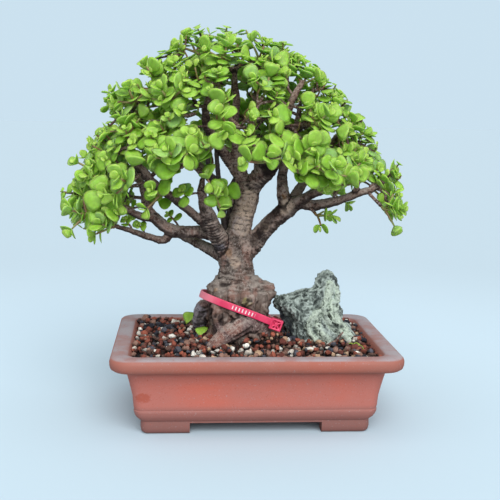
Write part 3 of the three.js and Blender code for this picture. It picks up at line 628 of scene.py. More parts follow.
def across_of(axis):
    """Two directions square to an axis and to each other."""
    aside = np.array([0, 0, 1.0]) if abs(axis[2]) < 0.9 else np.array([1.0, 0, 0])
    start = unit(np.cross(axis, aside))
    return start, np.cross(axis, start)


def leaf_pair(draw, at, axis, turn, lean, size):
    """Two leaves that stand opposite each other on a shoot, turned about it and leaning towards its
    tip."""
    start, other = across_of(axis)
    leaves = []
    for opposite in (0, np.pi):
        out = start * np.cos(turn + opposite) + other * np.sin(turn + opposite)
        grown = size * draw.around(1, 0.14)
        tilt = lean + draw.around(0, 0.2)
        broad = draw.around(1, 0.08)
        leaves.append(
            {
                "base": at, "axis": axis, "out": out, "tilt": tilt, "length": LEAF_LENGTH * grown,
                "width": LEAF_WIDTH * grown * broad,
            },
        )
    return leaves


def leaned(leaf, more):
    """The leaf with its way, side and upper side set for its tilt away from the shoot's axis."""
    tilt = leaf["tilt"] + more
    way = unit(leaf["axis"] * np.cos(tilt) + leaf["out"] * np.sin(tilt))
    up = unit(leaf["axis"] * np.sin(tilt) - leaf["out"] * np.cos(tilt))
    return {**leaf, "way": way, "up": up, "side": np.cross(way, up)}


def spray_plan(index, twig, aim_shares):
    """A spray's shoots and pairs of leaves: a main shoot with two pairs, and two side shoots with one
    each."""
    along, out, rise = aim_shares
    draw = Draw(TREE_SEED + 977 * (index + 1))
    foot, arrives = twig["path"][2], twig["arrives"]
    aim = unit(arrives * along + twig["out"] * out + np.array([0, 0, rise]))
    start = foot + SHOOT_GAP * arrives
    tall = draw.around(16, 2)
    bend = start + 3.5 * arrives
    tip = bend + (tall - 3.5) * aim
    turn = 6.283 * draw.next()
    shoots = [(np.array([start, bend, tip]), (TWIG_TIP, 1.15, 0.75))]
    pairs = [
        leaf_pair(draw, bend + 0.36 * tall * aim, aim, turn, 1.15, 1),
        leaf_pair(draw, tip, aim, turn + 1.57, 0.7, 0.88),
    ]
    across, over = across_of(aim)
    fan = turn + 0.78
    reach = unit(across * np.cos(fan) + over * np.sin(fan))
    for side in (-1, 1):
        way = unit(0.5 * aim + 0.9 * side * reach)
        end = bend + draw.around(14, 1.5) * way
        shoots.append((np.array([bend, (bend + end) / 2 + 0.6 * arrives, end]), (1.0, 0.9, 0.7)))
        pairs.append(leaf_pair(draw, end, way, 6.283 * draw.next(), 0.88, 0.94))
    return shoots, pairs


def found_leaves(index, twig):
    """The spray's plan that the packed spray follows, with each leaf at the lean where the packed leaf's
    tip is found. A leaf that the packed spray lacks is left out."""
    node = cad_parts[f"spray_{index + 1:02d}"]
    corners = np.array([tuple(v.co) for v in node.data.vertices])
    corners = to_mm(corners)
    best = None
    for aim_shares in AIMS:
        shoots, pairs = spray_plan(index, twig, aim_shares)
        kept = []
        for leaf in itertools.chain(*pairs):
            tries = [leaned(leaf, more) for more in LEAN_TRIES]
            tips = np.array([one["base"] + one["length"] * one["way"] for one in tries])
            misses = np.linalg.norm(tips[:, None] - corners[None], axis=2).min(axis=1)
            if misses.min() < 0.6:
                kept.append(tries[int(np.argmin(misses))])
        if best is None or len(kept) > len(best[1]):
            best = (shoots, kept)
    return best


# Foliage: where every leaf goes

EXTRA_SHELL = 330
EXTRA_INNER = 44
EXTRA_SHARES = (0.88, 0.74, 0.82, 0.68, 0.86, 0.78)
INNER_SHARES = (0.6, 0.48, 0.66)
FRONT_SHARE = 0.86
# Pairs of leaves up an extra shoot: [share along it, lean, size, youth]
SHOOT_PAIRS = (
    (0.08, 1.3, 1.0, 0.0), (0.36, 1.15, 0.98, 0.1), (0.66, 0.95, 0.84, 0.4), (1.0, 0.6, 0.54, 1.0),
)
# Pairs of leaves in a tuft, that stand close together: [millimetres up its shoot, lean, size, youth]
TUFT_PAIRS = (
    (0.0, 1.42, 1.06, 0.05), (2.4, 1.25, 0.96, 0.2), (4.6, 0.98, 0.66, 0.6), (6.4, 0.6, 0.42, 1.0),
)
# Edge of the foliage as the camera sees it, as [x, z] where its lines of sight cross the upright plane y = 0
LEAFY_OUTLINE = np.array(
    [
        (-151, 167), (-150, 177), (-141, 181), (-139, 188), (-132, 195), (-129, 204), (-126, 214),
        (-120, 222), (-114, 228), (-107, 231), (-111, 234), (-116, 246), (-111, 258), (-102, 255),
        (-93, 258), (-84, 253), (-82, 262), (-82, 269), (-81, 278), (-76, 285), (-66, 284), (-62, 288),
        (-60, 295), (-53, 298), (-48, 301), (-41, 303), (-34, 300), (-28, 303), (-22, 303), (-16, 299),
        (-9, 302), (-1, 301), (2, 295), (11, 295), (21, 292), (30, 291), (31, 284), (40, 283), (44, 276),
        (50, 272), (56, 264), (63, 260), (67, 255), (72, 252), (76, 243), (81, 240), (87, 235), (88, 228),
        (97, 222), (99, 214), (100, 204), (107, 204), (114, 203), (118, 195), (120, 171), (122, 155),
        (113, 150), (104, 158), (99, 166), (96, 181), (85, 185), (72, 182), (63, 173), (50, 178),
        (36, 181), (28, 195), (23, 205), (8, 209), (1, 199), (-7, 209), (-18, 209), (-32, 212), (-32, 191),
        (-43, 193), (-60, 190), (-69, 174), (-75, 174), (-73, 188), (-83, 188), (-89, 206), (-92, 192),
        (-93, 180), (-92, 171), (-103, 163), (-104, 150), (-116, 145), (-120, 135), (-126, 136),
        (-127, 144), (-136, 147), (-142, 151), (-147, 164),
    ],
    float,
)
# Places in front of which the wood is bare, seen the same way, as [x, z, radius]
OPEN_DEPTH = 14.0
OPEN_PLACES = np.array(
    [
        (-17, 269, 5), (-16, 260, 6), (-14, 252, 6), (-38, 243, 5), (-39, 236, 7), (-38, 227, 7),
        (-48, 234, 6), (-12, 241, 6), (-12, 231, 7), (-19, 235, 5), (-25, 257, 5), (27, 261, 5),
        (32, 254, 6), (31, 244, 6), (31, 236, 4), (5, 246, 6), (5, 228, 6), (-5, 253, 4),
        (45, 256, 5), (37, 225, 5), (29, 227, 4), (64, 219, 7), (-85, 238, 7), (-78, 235, 5),
        (-48, 267, 5), (-51, 283, 4), (-31, 284, 4), (-89, 202, 5), (-109, 186, 4), (-1, 283, 4),
    ]
)
# Tufts on the crown's near side, seen the same way, as [x, z, length of the largest leaves]
FRONT_TUFTS = np.array(
    [
        (-110, 254, 9), (-98, 254, 12), (-106, 246, 9), (-98, 240, 13), (-108, 236, 9), (-87, 250, 9),
        (-77, 277, 8), (-74, 267, 10), (-68, 280, 8), (-62, 271, 9), (-58, 282, 11), (-54, 292, 9),
        (-44, 296, 10), (-40, 282, 12), (-24, 297, 9), (-22, 287, 11), (-15, 284, 10), (-8, 297, 9),
        (4, 290, 9), (20, 287, 9), (28, 286, 7), (-39, 261, 12), (-27, 275, 11), (-30, 262, 10),
        (-54, 257, 13), (-72, 252, 10), (-69, 243, 11), (-56, 234, 13), (-46, 231, 11), (-65, 228, 10),
        (-81, 230, 12), (-98, 217, 11), (-91, 210, 12), (-105, 207, 10), (-119, 216, 11), (-112, 225, 8),
        (-122, 195, 10), (-112, 199, 10), (-102, 184, 12), (-127, 187, 11), (-138, 184, 9), (-145, 174, 7),
        (-134, 163, 12), (-129, 157, 14), (-115, 173, 16), (-98, 178, 13), (-113, 156, 15), (-121, 145, 9),
        (-73, 206, 13), (-83, 200, 13), (-60, 198, 16), (-52, 214, 14), (-39, 211, 14), (-23, 218, 13),
        (-6, 215, 15), (1, 253, 13), (-13, 272, 12), (-5, 267, 12), (4, 271, 13), (15, 263, 13),
        (-2, 277, 8), (12, 234, 15), (19, 218, 18), (31, 211, 13), (41, 210, 14), (34, 192, 13),
        (45, 192, 13), (57, 197, 13), (60, 186, 10), (42, 230, 13), (32, 273, 10), (22, 278, 9),
        (38, 276, 8), (47, 268, 9), (49, 224, 9), (54, 217, 10), (41, 238, 10), (36, 249, 9), (52, 257, 8),
        (58, 239, 9), (67, 233, 9), (76, 225, 11), (81, 216, 10), (90, 219, 10), (94, 209, 9),
        (71, 208, 11), (75, 199, 10), (84, 198, 10), (93, 193, 11), (104, 193, 12), (111, 196, 10),
        (113, 187, 10), (109, 174, 10), (112, 160, 12), (105, 168, 10), (115, 166, 9), (70, 247, 8),
        (60, 256, 7), (83, 233, 8), (57, 248, 8), (15, 247, 10), (-7, 233, 9), (0, 230, 8), (-34, 249, 9),
        (-22, 246, 12), (-30, 231, 10), (-80, 215, 9),
    ],
    float,
)
# Tufts that hang before and under the limbs, as [x, y, z, length of the largest leaves]
LOW_TUFTS = np.array(
    [
        (-54, -34, 176, 10), (-25, -28, 178, 12), (-63, -4, 155, 7), (-75, -8, 170, 11), (-2, -4, 202, 9),
        (-94, -14, 164, 7), (-87, -14, 149, 6), (-97, -20, 153, 6), (61, -28, 190, 8),
    ],
    float,
)
SLAB_ROOM = 1.0
WOOD_ROOM = 0.8
CHECK_POINTS = np.array(
    [
        (0.2, 0), (0.5, 0), (0.8, 0), (1, 0), (0.35, 0.3), (0.35, -0.3), (0.65, 0.45), (0.65, -0.45),
        (0.9, 0.28), (0.9, -0.28),
    ],
)


def check_points(leaf):
    """Points spread over a leaf's blade."""
    along = CHECK_POINTS[:, :1] * leaf["length"] * leaf["way"]
    across = CHECK_POINTS[:, 1:] * leaf["width"] * leaf["side"]
    return leaf["base"] + along + across


class Foliage:
    """The leaves placed so far, the wood that they keep clear of, and the test of room for one more."""

    def __init__(self, wood_points, wood_radii):
        self.leaves = []
        self.wood_points = wood_points
        self.wood_radii = wood_radii
        self.middles = np.zeros((6000, 3))

    def crosses(self, points, others):
        """Whether any point lies in another leaf's slab: inside its oval and near its plane."""
        base, way, side, up, length, width = others
        reach = points[None] - base[:, None]
        along = np.einsum("ijk,ik->ij", reach, way) / length[:, None]
        across = np.einsum("ijk,ik->ij", reach, side) / width[:, None]
        above = np.einsum("ijk,ik->ij", reach, up)
        inside = ((along - 0.56) / 0.46) ** 2 + (across / 0.46) ** 2 < 1
        return bool(np.any(inside & (np.abs(above) < SLAB_ROOM)))

    def fits(self, leaf, free):
        points = check_points(leaf)
        if not free and (not inside(seen_at(points[3:]), LEAFY_OUTLINE).all() or bares_wood(points).any()):
            return False
        off_wood = np.linalg.norm(points[2:, None] - self.wood_points[None], axis=2) - self.wood_radii
        if off_wood.min() < WOOD_ROOM:
            return False
        middle = points[1]
        count = len(self.leaves)
        near = np.flatnonzero(np.linalg.norm(self.middles[:count] - middle, axis=1) < 17)
        if len(near) == 0:
            return True
        others = [self.leaves[k] for k in near]
        arrays = [np.array([other[key] for other in others]) for key in ("base", "way", "side", "up")]
        arrays += [np.array([other[key] for other in others]) for key in ("length", "width")]
        if self.crosses(points, arrays):
            return False
        mine = [np.array([leaf[key]]) for key in ("base", "way", "side", "up", "length", "width")]
        return not any(self.crosses(check_points(other)[1:], mine) for other in others)

    def place(self, leaf, spray, youth):
        self.middles[len(self.leaves)] = leaf["base"] + 0.5 * leaf["length"] * leaf["way"]
        self.leaves.append({**leaf, "spray": spray, "youth": youth})

    def try_pair(self, pair, spray, youth, leans=(0, 0.25, -0.25, 0.5, -0.45), free=False, sizes=(1.0,)):
        """Places each leaf of a pair at the first size and lean that has room, free of the outline or
        inside it."""
        placed = 0
        for leaf in pair:
            for size, more in itertools.product(sizes, leans):
                tried = leaned(leaf, more)
                tried = {**tried, "length": size * tried["length"], "width": size * tried["width"]}
                if self.fits(tried, free):
                    self.place(tried, spray, youth)
                    placed += 1
                    break
        return placed


def seen_at(points):
    """Where the camera's lines of sight through points cross the upright plane y = 0, as [x, z]."""
    eye = np.array(CAMERA_AT)
    away = np.asarray(points, float) - eye
    return (eye - away * (eye[1] / away[:, 1:2]))[:, [0, 2]]


def inside(spots, outline):
    """Whether each spot lies in a closed outline: a level line out of it crosses an odd number of its
    sides."""
    x, z = spots[:, 0, None], spots[:, 1, None]
    (start_x, start_z), (end_x, end_z) = outline.T, np.roll(outline, -1, axis=0).T
    spans = (start_z > z) != (end_z > z)
    slope = (end_x - start_x) / np.where(end_z == start_z, 1, end_z - start_z)
    return np.sum(spans & (x < start_x + (z - start_z) * slope), axis=1) % 2 == 1


def bares_wood(points):
    """Whether each point stands before one of the places where the wood is bare."""
    away = np.linalg.norm(seen_at(points)[:, None] - OPEN_PLACES[None, :, :2], axis=2)
    return (points[:, 1] < OPEN_DEPTH) & (away < OPEN_PLACES[:, 2]).any(axis=1)


def on_near_side(spots):
    """For spots seen by the camera, as [x, z], where its lines of sight first come as deep into the
    crown's mound as its leafy shell, or else where they pass nearest to its middle."""
    eye = np.array(CAMERA_AT)
    met = np.stack([spots[:, 0], np.zeros(len(spots)), spots[:, 1]], axis=1)
    depths = np.linspace(-100, 60, 161)
    along = (depths - eye[1]) / -eye[1]
    points = eye + along[None, :, None] * (met - eye)[:, None]
    flat = points.reshape(-1, 3)
    away = (flat - CROWN_MIDDLE) / CROWN_HALF
    reach = crown_points(unit(away), 1) - CROWN_MIDDLE
    share = np.linalg.norm(away, axis=1) / np.linalg.norm(reach / CROWN_HALF, axis=1)
    share = share.reshape(len(spots), -1)
    first = np.where(
        (share < FRONT_SHARE).any(axis=1), np.argmax(share < FRONT_SHARE, axis=1), share.argmin(axis=1),
    )
    return points[np.arange(len(spots)), first]


def extra_feet():
    """Feet of more leafy twigs over the whole crown at several depths, and some in its heart."""
    heights = -0.2 + 1.18 * (np.arange(EXTRA_SHELL) + 0.5) / EXTRA_SHELL
    shares = np.resize(EXTRA_SHARES, EXTRA_SHELL)
    outer = crown_points(golden_directions(heights, 1.9), shares)
    near = np.clip(-outer[:, 1] / 60, 0, 1)[:, None]
    outer = outer + 0.14 * near * (CROWN_MIDDLE - outer)
    heights = 0.06 + 0.86 * (np.arange(EXTRA_INNER) + 0.5) / EXTRA_INNER
    inner = crown_points(golden_directions(heights, 0.3), np.resize(INNER_SHARES, EXTRA_INNER))
    feet = np.vstack([outer, inner])
    feet += 5 * np.stack([noise(feet, 9, seed) for seed in (201, 202, 203)], axis=1)
    return feet[inside(seen_at(feet), LEAFY_OUTLINE)]


def grow_tuft(foliage, draw, twig, index):
    """A tuft on a short shoot that faces out and towards the camera. Gives its shoot if any leaf has
    room."""
    foot, arrives = twig["path"][2], twig["arrives"]
    to_eye = unit(np.array(CAMERA_AT) - foot)
    high = float(eased(foot[2], 225, 285))
    sway = np.array([draw.around(0, 0.45), draw.around(0, 0.35), draw.around(0.4 + 0.35 * high, 0.45)])
    axis = unit(0.15 * arrives + 0.55 * twig["out"] + (0.5 - 0.3 * high) * to_eye + sway)
    turn = 6.283 * draw.next()
    top = 0
    for k, (rise, lean, grown, youth) in enumerate(TUFT_PAIRS):
        size = twig["leaf"] * grown / LEAF_LENGTH
        pair = leaf_pair(draw, foot + rise * axis, axis, turn + 1.57 * k, lean, size)
        if foliage.try_pair(pair, index, youth, free=twig["free"]):
            top = rise + 0.3
    twig["bare"] = top == 0
    path = np.array([foot - 0.6 * arrives, foot + 0.3 * top * axis, foot + top * axis])
    return [(path, (0.95, 0.8, 0.5), index)] if top else []


def grow_shoot(foliage, draw, twig, index):
    """A shoot with its pairs of leaves. Gives it if any leaf has room."""
    foot, arrives = twig["path"][2], twig["arrives"]
    sway = np.array([draw.around(0, 0.4), draw.around(0, 0.4), draw.around(0.55, 0.5)])
    near = float(eased(foot[1], 30, -20))
    to_eye = unit(np.array(CAMERA_AT) - foot)
    aim = unit(0.3 * arrives + 0.85 * twig["out"] + 0.4 * near * to_eye + sway)
    tall = draw.around(10.5, 3)
    path = np.array([foot - 0.5 * arrives, foot + 0.35 * tall * unit(arrives + aim), foot + tall * aim])
    axis = unit(path[2] - path[1])
    size = draw.around(0.84, 0.16)
    turn = 6.283 * draw.next()
    at_edge = foot[2] > 212 or abs(foot[0] + 15) > 80
    sizes = (1.0, 0.76, 0.58) if at_edge else (1.0,)
    last = 0
    for k, (share, lean, grown, youth) in enumerate(SHOOT_PAIRS):
        along = 0.1 + 0.9 * share
        at = curve_through(path, [along])[0]
        pair = leaf_pair(draw, at, axis, turn + 1.57 * k, lean, size * grown)
        if foliage.try_pair(pair, index, youth, sizes=sizes):
            last = along
    twig["bare"] = last == 0
    if not last:
        return []
    return [(curve_through(path, np.array([0, last / 2, last])), (0.85, 0.75, 0.55), index)]


def cut_to_leaves(path, bases):
    """A shoot cut back to its topmost leaf, or to its middle where no leaf sits on it."""
    shares = np.linspace(0, 1, 21)
    away = np.linalg.norm(curve_through(path, shares)[:, None] - bases[None], axis=2).min(axis=1)
    last = shares[away < 2.6].max(initial=0.5)
    return curve_through(path, np.array([0, last / 2, last]))


def cut_bare_ends(extra):
    """Cuts each bare twig back to the last leafy twig that it carries. One that carries none is left
    out."""
    for twig in extra:
        twig["used"] = 0 if twig["bare"] else TWIG_STEPS
    for twig in extra:
        place = None if twig["bare"] else twig["from"]
        while place:
            parent, step = place
            parent["used"] = max(parent.get("used", TWIG_STEPS), step)
            place = parent["from"]
    kept = [twig for twig in extra if twig["used"]]
    for twig in kept:
        last = twig["used"] / TWIG_STEPS
        twig["radii"] = station(twig["radii"], last * np.linspace(0, 1, TWIG_STEPS + 1))
        twig["path"] = curve_through(twig["path"], np.array([0, last / 2, last]))
    return kept


@functools.lru_cache(maxsize=1)
def growth():
    """The whole tree above its limbs: main twigs, extra twigs, shoots and leaves, worked out once."""
    wood = Wood()
    main = main_twigs(wood)
    for twig in main:
        twig["radii"] = np.minimum(twig["room"], TWIG_TIP * twig["load"] ** 0.42)
    main_feet = np.array([twig["path"][2] for twig in main])
    draw = Draw(TREE_SEED + 5)
    tufts = np.vstack([on_near_side(FRONT_TUFTS[:, :2]), LOW_TUFTS[:, :3]])
    fill = extra_feet()
    feet = np.vstack([tufts, fill])
    leaf_sizes = np.concatenate([FRONT_TUFTS[:, 2], LOW_TUFTS[:, 3], np.zeros(len(fill))])
    reach = np.linalg.norm(feet[:, None] - np.array(wood.points)[None], axis=2).min(axis=1)
    extra = []
    for k in np.argsort(reach, kind="stable"):
        twig = grow_twig(wood, feet[k], draw, least=7.0)
        twig["leaf"] = leaf_sizes[k]
        twig["free"] = len(FRONT_TUFTS) <= k < len(tufts)
        extra.append(twig)
    for twig in extra:
        twig["radii"] = np.minimum(twig["room"], 0.8 * twig["load"] ** 0.42)
    keep_off, keep_off_radii = [], []
    for limb in LIMBS.values():
        path = np.array(limb, float)
        shares = np.linspace(0, 1, 5 * (len(path) - 1) + 1)
        keep_off.append(curve_through(path[:, :3], shares))
        keep_off_radii.append(station(path[:, 3], shares))
    for twig in main:
        shares = np.linspace(0, 0.85, 8)
        keep_off.append(curve_through(twig["path"], shares))
        keep_off_radii.append(station(twig["radii"], shares))
    foliage = Foliage(np.vstack(keep_off), np.concatenate(keep_off_radii))
    shoots = []
    plans = [found_leaves(index, twig) for index, twig in enumerate(main)]
    for index, (spray_shoots, leaves) in enumerate(plans):
        shoots += [(path, radii, index) for path, radii in spray_shoots]
        tips = [tuple(path[-1]) for path, _ in spray_shoots]
        for leaf in leaves:
            tip = leaf["base"] + leaf["length"] * leaf["way"]
            if not inside(seen_at(tip[None]), LEAFY_OUTLINE).all():
                leaf = {**leaf, "length": 0.72 * leaf["length"], "width": 0.72 * leaf["width"]}
            at_tip = min(np.linalg.norm(leaf["base"] - np.array(tip)) for tip in tips) < 0.5
            foliage.place(leaf, index, 0.45 if at_tip else 0.1)
    near_first = sorted(extra, key=lambda twig: twig["leaf"] == 0)
    for twig in [twig for twig in near_first if twig["leaf"]]:
        index = int(np.argmin(np.linalg.norm(main_feet - twig["path"][2], axis=1)))
        shoots += grow_tuft(foliage, draw, twig, index)
    for index, (spray_shoots, _) in enumerate(plans):
        for path, _ in spray_shoots:
            way = unit(path[-1] - path[-2])
            turn = 6.283 * draw.next()
            near_tip = leaf_pair(draw, path[-1] + 1.2 * way, way, turn, 0.75, 0.56)
            foliage.try_pair(near_tip, index, 0.8, free=True, sizes=(1.0, 0.75))
            at_tip = leaf_pair(draw, path[-1] + 2.4 * way, way, turn + 1.57, 0.4, 0.38)
            foliage.try_pair(at_tip, index, 1.0, free=True, sizes=(1.0, 0.75))
            for share, size in ((0.7, 0.8), (0.4, 0.72)):
                lower = path[0] + share * (path[-1] - path[0])
                turn += 1.57
                foliage.try_pair(leaf_pair(draw, lower, way, turn, 1.2, size), index, 0.2)
    for twig in [twig for twig in near_first if not twig["leaf"]]:
        index = int(np.argmin(np.linalg.norm(main_feet - twig["path"][2], axis=1)))
        shoots += grow_shoot(foliage, draw, twig, index)
    own = sum(len(spray_shoots) for spray_shoots, _ in plans)
    for k, (path, radii, index) in enumerate(shoots[:own]):
        bases = np.array([leaf["base"] for leaf in foliage.leaves if leaf["spray"] == index])
        shoots[k] = (cut_to_leaves(path, bases), radii, index)
    return main, cut_bare_ends(extra), shoots, foliage.leaves


# Leaf: its shape, given by a turn round its rim and a share from its middle out

LEAF_RIM = 14
LEAF_RING = 0.66


def leaf_shape():
    """A leaf of unit length as [along, across, above]. Its rim is an oval that is broadest past the
    middle and narrow at the base: across is the sine of the turn, scaled up along the leaf. A ring and a
    middle point lie on each face, as high as a lens is thick there. Also gives how near the rim and the
    underside each is."""
    turn = 2 * np.pi * np.arange(LEAF_RIM) / LEAF_RIM
    along = (1 - np.cos(turn)) / 2
    across = 0.5 * np.sin(turn) * (0.62 + 0.6 * along) / 0.95
    across *= 1 - 0.35 * np.exp(-((along / 0.18) ** 2))
    rim = np.stack([along, across, np.zeros(LEAF_RIM)], axis=1)
    middle = np.array([0.54, 0, 0])
    ring = middle + LEAF_RING * (rim - middle)
    lens = np.sqrt(1 - LEAF_RING**2)
    upper, lower = ring + [0, 0, 0.5 * lens], ring - [0, 0, 0.5 * lens]
    points = np.vstack([rim, upper, lower, middle + [0, 0, 0.42], middle - [0, 0, 0.5]])
    edge = np.concatenate([np.ones(LEAF_RIM), np.full(2 * LEAF_RIM, 0.3), [0, 0]])
    under = np.concatenate([np.full(LEAF_RIM, 0.5), np.zeros(LEAF_RIM), np.ones(LEAF_RIM), [0, 1]])
    first, second = np.arange(LEAF_RIM), LEAF_RIM + np.arange(LEAF_RIM)
    ahead = np.roll(first, -1)
    upper_quads = np.stack([first, ahead, ahead + LEAF_RIM, second], axis=1)
    lower_quads = np.stack([second + LEAF_RIM, ahead + 2 * LEAF_RIM, ahead, first], axis=1)
    quads = np.vstack([upper_quads, lower_quads])
    triangles = np.vstack(
        [
            cap_faces(LEAF_RIM, LEAF_RIM, 3 * LEAF_RIM),
            cap_faces(2 * LEAF_RIM, LEAF_RIM, 3 * LEAF_RIM + 1, flip=True),
        ]
    )
    return points, quads, triangles, edge, under


def leaves_mesh(leaves, seed):
    """All the points and faces of a list of leaves, each with its own cup, droop, wave and plumpness, and
    the values that its colour reads."""
    shape, quads, triangles, edge, under = leaf_shape()
    chance = np.random.default_rng(seed)
    count, size = len(leaves), len(shape)
    base, way, side, up = (
        np.array([leaf[key] for leaf in leaves]) for key in ("base", "way", "side", "up")
    )
    length = np.array([leaf["length"] for leaf in leaves])[:, None]
    width = np.array([leaf["width"] for leaf in leaves])[:, None]
    youth = np.array([leaf["youth"] for leaf in leaves])
    thick = 1000 * bpy.context.scene.bonsai_foliage.plumpness
    cup = chance.uniform(-0.15, 0.5, (count, 1))
    droop = chance.uniform(-0.22, 0.1, (count, 1))
    wave = chance.uniform(0, 0.035, (count, 1))
    fan = chance.uniform(-0.15, 0.55, (count, 1))
    phase = chance.uniform(0, 6.283, (count, 1))
    twist = chance.uniform(-0.16, 0.16, (count, 1))
    notch = chance.uniform(-0.05, 0.04, (count, 1))
    along, across, above = shape.T
    turn = np.arctan2(across, along - 0.54)
    tip = np.exp(-((turn / 0.5) ** 2)) * edge
    far = along * (1 + notch * tip)
    across = across * (1 + fan * (along - 0.6))
    high = above * thick * (0.8 + 0.3 * (1 - youth[:, None]) + chance.uniform(-0.1, 0.1, (count, 1)))
    high = high + cup * width * across**2 + droop * length * far**2 + twist * width * across * far
    high = high + wave * length * edge * np.sin(3 * turn + phase)
    points = base[:, None] + way[:, None] * (length * far)[..., None]
    points = points + side[:, None] * (width * across)[..., None] + up[:, None] * high[..., None]
    first = (size * np.arange(count))[:, None, None]
    all_faces = [(first + quads).reshape(-1, 4), (first + triangles).reshape(-1, 3)]
    tone = chance.uniform(0, 1, count)
    values = {
        "youth": np.repeat(youth, size), "tone": np.repeat(tone, size), "edge": np.tile(edge, count),
        "under": np.tile(under, count),
    }
    return points.reshape(-1, 3), all_faces, values


def spray_meshes():
    """For each of the model's sprays: points and faces of its leaves and shoots, how many of the faces
    are leaves, and the values over its points."""
    main, _, shoots, leaves = growth()
    for index in range(len(main)):
        mine = [leaf for leaf in leaves if leaf["spray"] == index]
        leaf_points, leaf_faces, values = leaves_mesh(mine, 100 + index)
        tubes = [tube(path, radii, 6, 5)[:3] for path, radii, spray in shoots if spray == index]
        points, faces = gathered([(leaf_points, *leaf_faces), *tubes])
        bare = np.zeros(len(points) - len(leaf_points))
        values = {title: np.concatenate([numbers, bare]) for title, numbers in values.items()}
        yield index, points, faces, sum(len(face) for face in leaf_faces), values


# Wood: the trunk, roots, folds, limbs and thick twigs under one skin, and the thin twigs

BARK_VOXEL = 0.92
THICK_TWIG = 1.5
# Marks on the bark as [x, y, z, radius, how far it stands out]. The shade marks are painted shade, and the
# dark of the cut marks is partly painted shade in the dents by the roots.
BARK_MARKS = {
    "scar": ((-31.2, -15, 102.7, 3.4, 0.5), (22.9, -10, 174.2, 4, -0.5), (-21.3, -11, 129.6, 4.2, -0.2)),
    "blue": ((-10.6, -8, 150.4, 7.5, -0.4), (-42, 2, 80, 7, 0), (-43, 8, 70, 7, 0), (-27, -8, 134, 5, 0)),
    "bud": ((-5.7, -20, 92.6, 4, 1.3),),
    "red": ((14, -6, 103.5, 4.5, 0.2), (-17, -24, 75, 8, 0), (-30, -28, 66, 7, 0)),
    # Tan marks: the bark's tan, pale enough to also paint the light that the crown keeps off the limbs'
    # fronts
    "tan": (
        (-6, -8, 163, 9, 0), (-9, -8, 150, 8, 0), (-4, -7, 173, 7, 0), (-15.5, -12, 122, 5, 0),
        (8, -8, 149, 5, 0), (24, -9, 166, 6, 0),
    ),
    "shade": (
        (-0.6, -5, 137, 4.4, 0), (1.5, -5, 142, 4.2, 0), (4.6, -4.6, 146, 4.2, 0), (8, -4, 150, 4.2, 0),
        (11.6, -4, 154, 4.2, 0), (15, -4, 158, 4, 0), (18, -4, 162, 3.8, 0), (20.6, -4, 167, 3.6, 0),
        (22, -4, 173, 3.4, 0), (-31, -3, 133, 5, 0), (-36, -2, 137, 4.4, 0), (-24, -5, 146, 3.6, 0),
        (11, -8, 193, 6, 0), (17, -8, 187, 5, 0), (-33, -12, 85, 5, 0), (-33, -14, 77, 6, 0),
        (-30, -17, 69, 6, 0), (-38, -4, 74, 5, 0), (-25, -21, 81, 3.4, 0), (-17, -22, 78.6, 3, 0),
        (-9, -21, 75, 3, 0), (-3, -19, 70.6, 4, 0), (4, -15, 66, 4, 0),
    ),
    # Cut scars, and dents by the roots whose dark is painted shade
    "cut": (
        (104, -6, 191, 4, 0), (9, -12, 192.8, 6, -1.2), (-30, -11, 78.3, 4.2, -2.6),
        (-28.5, -13, 73, 4, -2.6), (-25, -20, 76.4, 3, -1.4), (-19, -22, 79.4, 2.6, -1.2),
        (-12.7, -22, 82, 2.6, -1), (-11, -22, 85, 2.6, -0.8),
    ),
}


def trunk_ribs(turn, height):
    """Five and three soft ribs that wind a little as they climb."""
    return 0.045 * np.sin(5 * turn + 0.08 * height) + 0.03 * np.sin(3 * turn - 0.13 * height + 1)


def wood_axes():
    """Closely spaced samples of every axis in the wood: place, radius, distance along, way, and whether
    it is the trunk (0), a limb (1) or a root (2)."""
    main = growth()[0]
    trunk = np.array(TRUNK, float)
    lines = [(trunk[:, [1, 2, 0]], trunk[:, 3:].mean(axis=1), 0)]
    lines += [(np.array(limb)[:, :3], np.array(limb)[:, 3], 1) for limb in LIMBS.values()]
    lines += [(twig["path"], twig["radii"], 1) for twig in main]
    lines += [(np.array(root)[:, :3], np.array(root)[:, 3], 2) for root in ROOTS.values()]
    places, radii, alongs, ways, kinds = [], [], [], [], []
    for number, (path, girth, kind) in enumerate(lines):
        shares = np.linspace(0, 1, 12 * (len(path) - 1) + 1)
        centre = curve_through(path, shares)
        along = np.concatenate([[0], np.cumsum(np.linalg.norm(np.diff(centre, axis=0), axis=1))])
        places.append(centre)
        radii.append(station(girth, shares))
        alongs.append(along + 1.7 * number)
        ways.append(unit(np.gradient(centre, axis=0)))
        kinds.append(np.full(len(centre), kind))
    return np.vstack(
        places,
    ), np.concatenate(radii), np.concatenate(alongs), np.vstack(ways), np.concatenate(kinds)


def nearest_axis(points):
    """For each point the index of the axis sample whose skin it is nearest to, and how deep it lies in a
    fork: 1 where the skin of a second axis, that goes another way, is as near."""
    places, radii, _, ways, kinds = wood_axes()
    steps = np.linalg.norm(np.diff(places, axis=0), axis=1)
    starts = np.concatenate([[0], np.flatnonzero((steps > 4) | (np.diff(kinds) != 0)) + 1])
    line_of = np.repeat(np.arange(len(starts)), np.diff([*starts, len(places)]))
    squares = np.sum(places**2, axis=1)
    found, forks = [], []
    for part in np.array_split(points, max(1, len(points) // 4000)):
        distance = np.sqrt(np.maximum(np.sum(part**2, axis=1)[:, None] + squares - 2 * part @ places.T, 0))
        distance -= radii
        near = np.argmin(distance, axis=1)
        rows = np.arange(len(part))
        first = distance[rows, near]
        distance[line_of[None, :] == line_of[near][:, None]] = np.inf
        second = np.argmin(distance, axis=1)
        crossing = 1 - np.abs(np.sum(ways[near] * ways[second], axis=1))
        close = eased(distance[rows, second] - first, 1.5, 0.2)
        found.append(near)
        forks.append(close * eased(crossing, 0.1, 0.4))
    return np.concatenate(found), np.concatenate(forks)


def bell(values, middle, width):
    """1 at the middle, falling smoothly to nothing a width away."""
    return np.exp(-(((values - middle) / width) ** 2))


